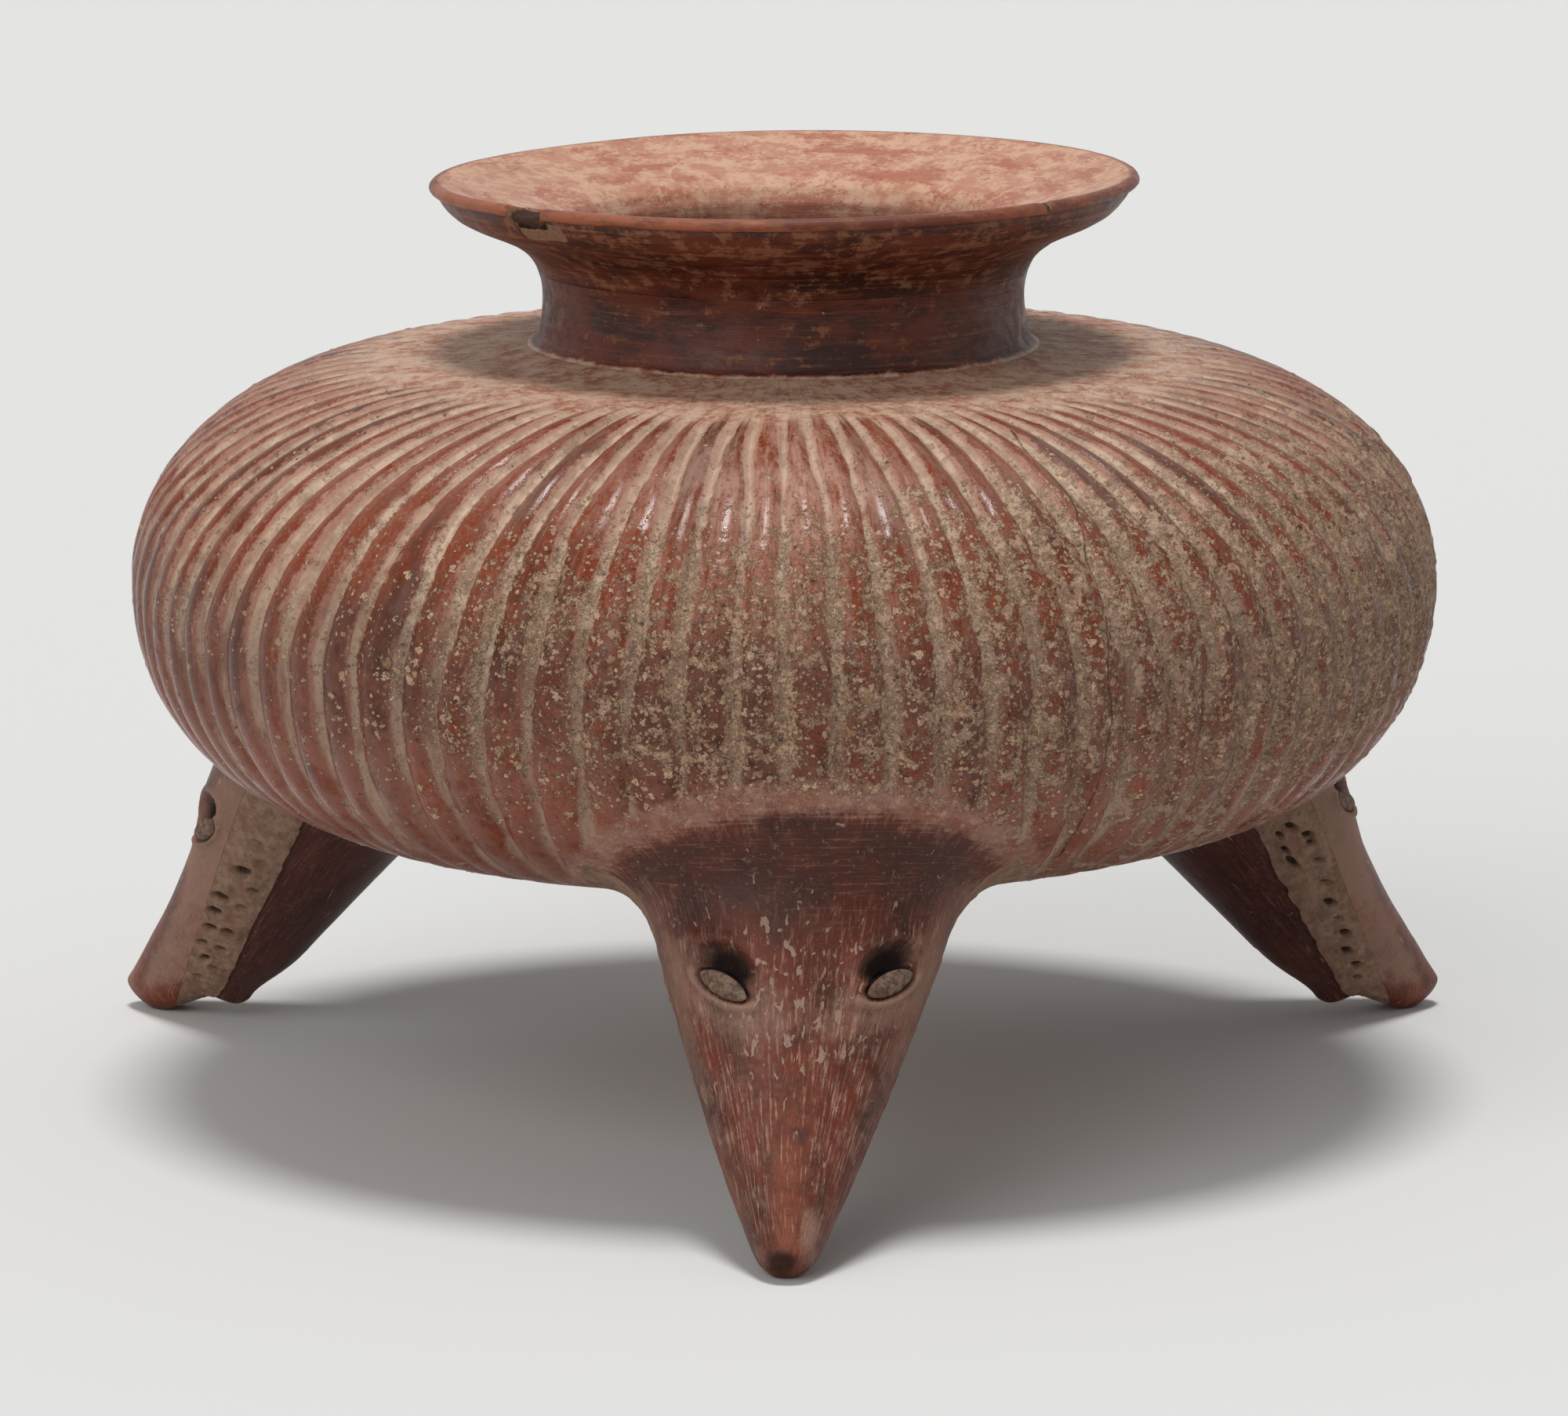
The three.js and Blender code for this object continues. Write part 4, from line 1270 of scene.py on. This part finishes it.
# A part of a head between two edges, with its cap below and its skirt above.
def headPart(name, lowEdge, highEdge, columnsKey, place, node, material, pattern=None):
    number, columns = placeNumbers[place], head[columnsKey]
    across = np.linspace(0, 1, columns)[None, :]
    rise = np.linspace(0, 1, head["rowsUp"])[:, None] ** 1.05
    angle = mixed(lowEdge(40 + 0 * rise), highEdge(40 + 0 * rise), across)
    for _ in range(6):
        height = rise * meetingAt(angle)
        angle = mixed(lowEdge(height), highEdge(height), across)
    height = rise * meetingAt(angle)
    side, normal, share = sidePoints(height, angle)
    if pattern:
        fromJaw = across if angle[0, 0] < 0 else 1 - across
        seed = 81 + 7 * number + len(name) % 5
        relief, pit = bandRelief(side, height, fromJaw + 0 * height, pattern, seed)
    else:
        relief, dust, pit = faceRelief(side, place)
    side = side + normal * relief[..., None]
    shift, middle = sectionAt(height)[3:]
    inwards = stacked(middle, shift, height) - side
    length = np.linalg.norm(inwards, axis=-1, keepdims=True)
    innerSide = footed(side + inwards * np.minimum(head["shell"] / length, 0.45))
    innerSide[..., 2] += head["soleThickness"] * np.clip(1 - height / 6, 0, 1)
    side = footed(side)

    capShares = np.array(head["capShares"])[:, None]
    cap = np.repeat(headPoint(0 * angle[0], angle[0])[None], len(capShares), 0)
    cap[..., 1] = mixed(sectionAt(0)[3], cap[..., 1], capShares)
    cap = footed(cap)
    spread = np.r_[np.linspace(0, 1, head["rowsSkirt"])[1:], 1.08][:, None] + 0 * angle[-1]
    skirt, bodyOut = skirtPoints(spread, angle[-1] + 0 * spread)
    innerSkirt = skirt - bodyOut * (1.2 + 2.5 * np.clip(1 - spread, 0, 1))[..., None]
    outerGrid = np.concatenate([cap, side, skirt])
    innerGrid = np.concatenate([cap + [0, 0, head["soleThickness"]], innerSide, innerSkirt])

    def allRows(values, capValue=0, skirtValues=0):
        capPart = np.full((len(capShares), columns), float(capValue))
        return np.concatenate([capPart, values + 0 * angle, skirtValues + 0 * spread])

    if pattern:
        marks = {"pit": allRows(pit)}
    else:
        # Where the shader shows burnish, scratches, dust, flecks and bare clay, and where it paints shade
        # into the cove and the eye hollows.
        onFront = place == "front"
        front = eased(np.cos(angle), 0, 0.7)
        offset = side[..., 1] - shift
        aside = np.abs(offset)
        # cove: the head's top under the body's bulge, where level burnish lies and the shader paints the
        # body's shadow.
        cove = np.maximum(share ** 1.2, eased(height, 70, 88)) * eased(np.cos(angle), -0.2, 0.5)
        forehead = between(height, 36, 54, 72, 84) * faded(aside, 8, 24)
        snoutDust = 0.28 * between(height, 3, 14, 50, 64) * (1 - 0.8 * faded(aside, 0, 6))
        tipPale = 0.7 * np.exp(-((offset - 5) / 2.5) ** 2 - ((height - 9) / 7) ** 2)
        tipDark = 0.8 * faded(np.hypot(height - 4, offset + 1) / 4, 0.5, 1.2)
        cheek = eased(np.abs(angle), 0.75, 1.15) * between(height, 30, 58, 84, 96)
        band = 0.7 * eased(np.abs(angle), 0.8, 1.2) * between(height, 2, 12, 40, 60)
        dust = dust + (cheek + band) * (0.35 if onFront else 1) * (material is headClay)
        ridge = front * faded(aside, -1, 8) * faded(height, 26, 54)
        if not onFront:
            ridge = np.maximum(ridge, 0.6 * faded(height, 1, 20) * eased(np.cos(angle), -0.5, 0.2))
        scratched = mixed(1.5, 0.9, eased(height, 25, 60)) * (1 if onFront else 0.3)
        sideFlow = stacked(angle * 24, height, 0)
        skirtFlow = stacked(angle[-1] * 24, height[-1] + spread * head["fillet"], 0)
        marks = {
            "cove": allRows(cove, 0, faded(spread, 0.1, 0.8) * front[-1]),
            "dust": allRows(dust + (tipPale + snoutDust) * front, 0, 0.1),
            "fleck": allRows(front * (forehead + 0.45 * (1 - share))),
            # Painted shade of the eye hollows and sockets, and a darker patch at the snout's tip.
            "hollowShadeAndDarkTip": allRows(np.maximum(pit, tipDark * front), 0.2),
            "ridge": allRows(ridge, 0.5),
            "earth": allRows(cheek * eased(height, 36, 56)),
            "scratched": allRows(scratched, 1, 1),
            "ledge": allRows(0, 0, eased(spread, 0.2, 1)),
            "flow": inMetres(np.concatenate([0 * cap, sideFlow, skirtFlow]) + [200 * number, 0, 0]),
        }
    points = turnedBy(np.concatenate([outerGrid, innerGrid]), jar["headAngles"][place])
    marks = {key: np.concatenate([flattened(values)] * 2) for key, values in marks.items()}
    makePiece(name, points, shellFaces(len(outerGrid), columns), marks, node, material)


# A lens of clay with drawn-out ends, set into its socket.
def eyeLens(name, offset, place, node):
    centre, long, short, out = eyePlace(offset, place)
    halfLong, halfShort, rise = face["lens"]
    rows, columns = face["lensRows"], face["lensColumns"]
    along = -np.cos(np.linspace(0.02, math.pi - 0.02, rows))[:, None]
    angle = aroundAngles(columns)
    width = halfShort * (1 - along ** 2) ** 0.62
    thick = np.where(np.sin(angle) > 0, rise, face["lensBuried"]) * (1 - along ** 2) ** 0.5
    local = stacked(halfLong * along, width * np.cos(angle), thick * np.sin(angle) - face["lensSink"])
    points = centre + local @ np.array([long, short, out])
    points = points + out * (0.12 * clayNoise(points + 90, 2.2, 91, 2))[..., None]
    whole = np.vstack([flattened(points), points[0].mean(0), points[-1].mean(0)])
    flip = np.dot(np.cross(long, short), out) > 0
    faces = gridFaces(rows, columns, True, flip=not flip)
    faces += fanFaces(np.arange(columns), len(whole) - 2, flip)
    faces += fanFaces(np.arange(columns) + (rows - 1) * columns, len(whole) - 1, not flip)
    points = turnedBy(whole, jar["headAngles"][place])
    makePiece(name, points, faces, {"pit": np.zeros(len(points))}, node, eyeClay)


sideNames = {-1: "Clockwise", 1: "Counter"}
for place, number in placeNumbers.items():
    jawEdge, bandEdge = [
        {side: edgeOf(kind, number, side) for side in sideNames} for kind in ("jaw", "band")
    ]
    label = place.capitalize()
    headPart("head" + label, bandEdge[-1], bandEdge[1], "columnsSnout", place,
             "head_" + place, headClay)
    headPart("jaw" + label, jawEdge[1], lambda h: 2 * math.pi + jawEdge[-1](h), "columnsJaw", place,
             "jaw_" + place, jawClay)
    for side, sideName in sideNames.items():
        ending = place + "_" + sideName.lower()
        lowEdge, highEdge = (jawEdge[-1], bandEdge[-1]) if side < 0 else (bandEdge[1], jawEdge[1])
        headPart("toothBand" + label + sideName, lowEdge, highEdge, "columnsBand", place,
                 "tooth_strip_" + ending, bandClay, "round" if side < 0 else "slanting")
        eyeLens("eye" + label + sideName, face["eyeOffsets"][place][side > 0], place, "eye_" + ending)
    print("head", place, "is modelled")

studio = {
    "cameraPlace": (0, -2.1453, 0.510),
    "cameraDip": 10.75,
    "lens": 199.0,
    "floorColour": tint(222, 222, 220),
    "floorRoughness": 0.9,
    "floorSize": 30,
    "lights": {  # strength, tilt and softness
        "overheadLight": (1.9, (2, 3), 15),
        "frontFill": (1.0, (62, -34), 50),
    },
    "lightHeight": 1.5,
    "worldStrength": 0.3,
    "backdropStrength": 0.62,
}
scene = bpy.context.scene
camera = addObject("camera", bpy.data.cameras.new("camera"))
camera.location = studio["cameraPlace"]
camera.rotation_euler = (math.radians(90 - studio["cameraDip"]), 0, 0)
camera.data.lens = studio["lens"]
camera.data.sensor_width = 36
camera.data.clip_start, camera.data.clip_end = 0.01, 50
scene.camera = camera

for name, (strength, tilt, softness) in studio["lights"].items():
    light = bpy.data.lights.new(name, "SUN")
    light.energy = strength
    light.angle = math.radians(softness)
    lamp = addObject(name, light)
    lamp.rotation_euler = (math.radians(tilt[0]), 0, math.radians(tilt[1]))
    lamp.location = (0, 0, studio["lightHeight"])

# The world is dimmer as a light than as the backdrop that the camera and reflections see.
world = bpy.data.worlds.new("pale studio")
scene.world = world
sky = Nodes(world)
seen = sky.make("ShaderNodeLightPath", "Is Camera Ray", {})
for kind in ("Is Glossy Ray", "Is Transmission Ray"):
    seen = seen.most(sky.make("ShaderNodeLightPath", kind, {}))
strengths = {"Value": seen, "To Min": studio["worldStrength"], "To Max": studio["backdropStrength"]}
backdrop = sky.tree.nodes["Background"]
sky.put(backdrop.inputs["Color"], (1, 1, 1))
sky.put(backdrop.inputs["Strength"], sky.make("ShaderNodeMapRange", "Result", strengths))

floorMesh = bpy.data.meshes.new("studioFloor")
floorCorners = np.array([(-1, -1, 0), (1, -1, 0), (1, 1, 0), (-1, 1, 0)]) * studio["floorSize"]
floorMesh.from_pydata(floorCorners.tolist(), [], [(0, 1, 2, 3)])
floor = addObject("studioFloor", floorMesh)
floorPaint = ClayNodes("pale floor", studio)
floorMesh.materials.append(floorPaint.finish("floorColour", "floorRoughness", 0.5))

scene.view_settings.view_transform = "Standard"
print("camera, lights and floor are set")
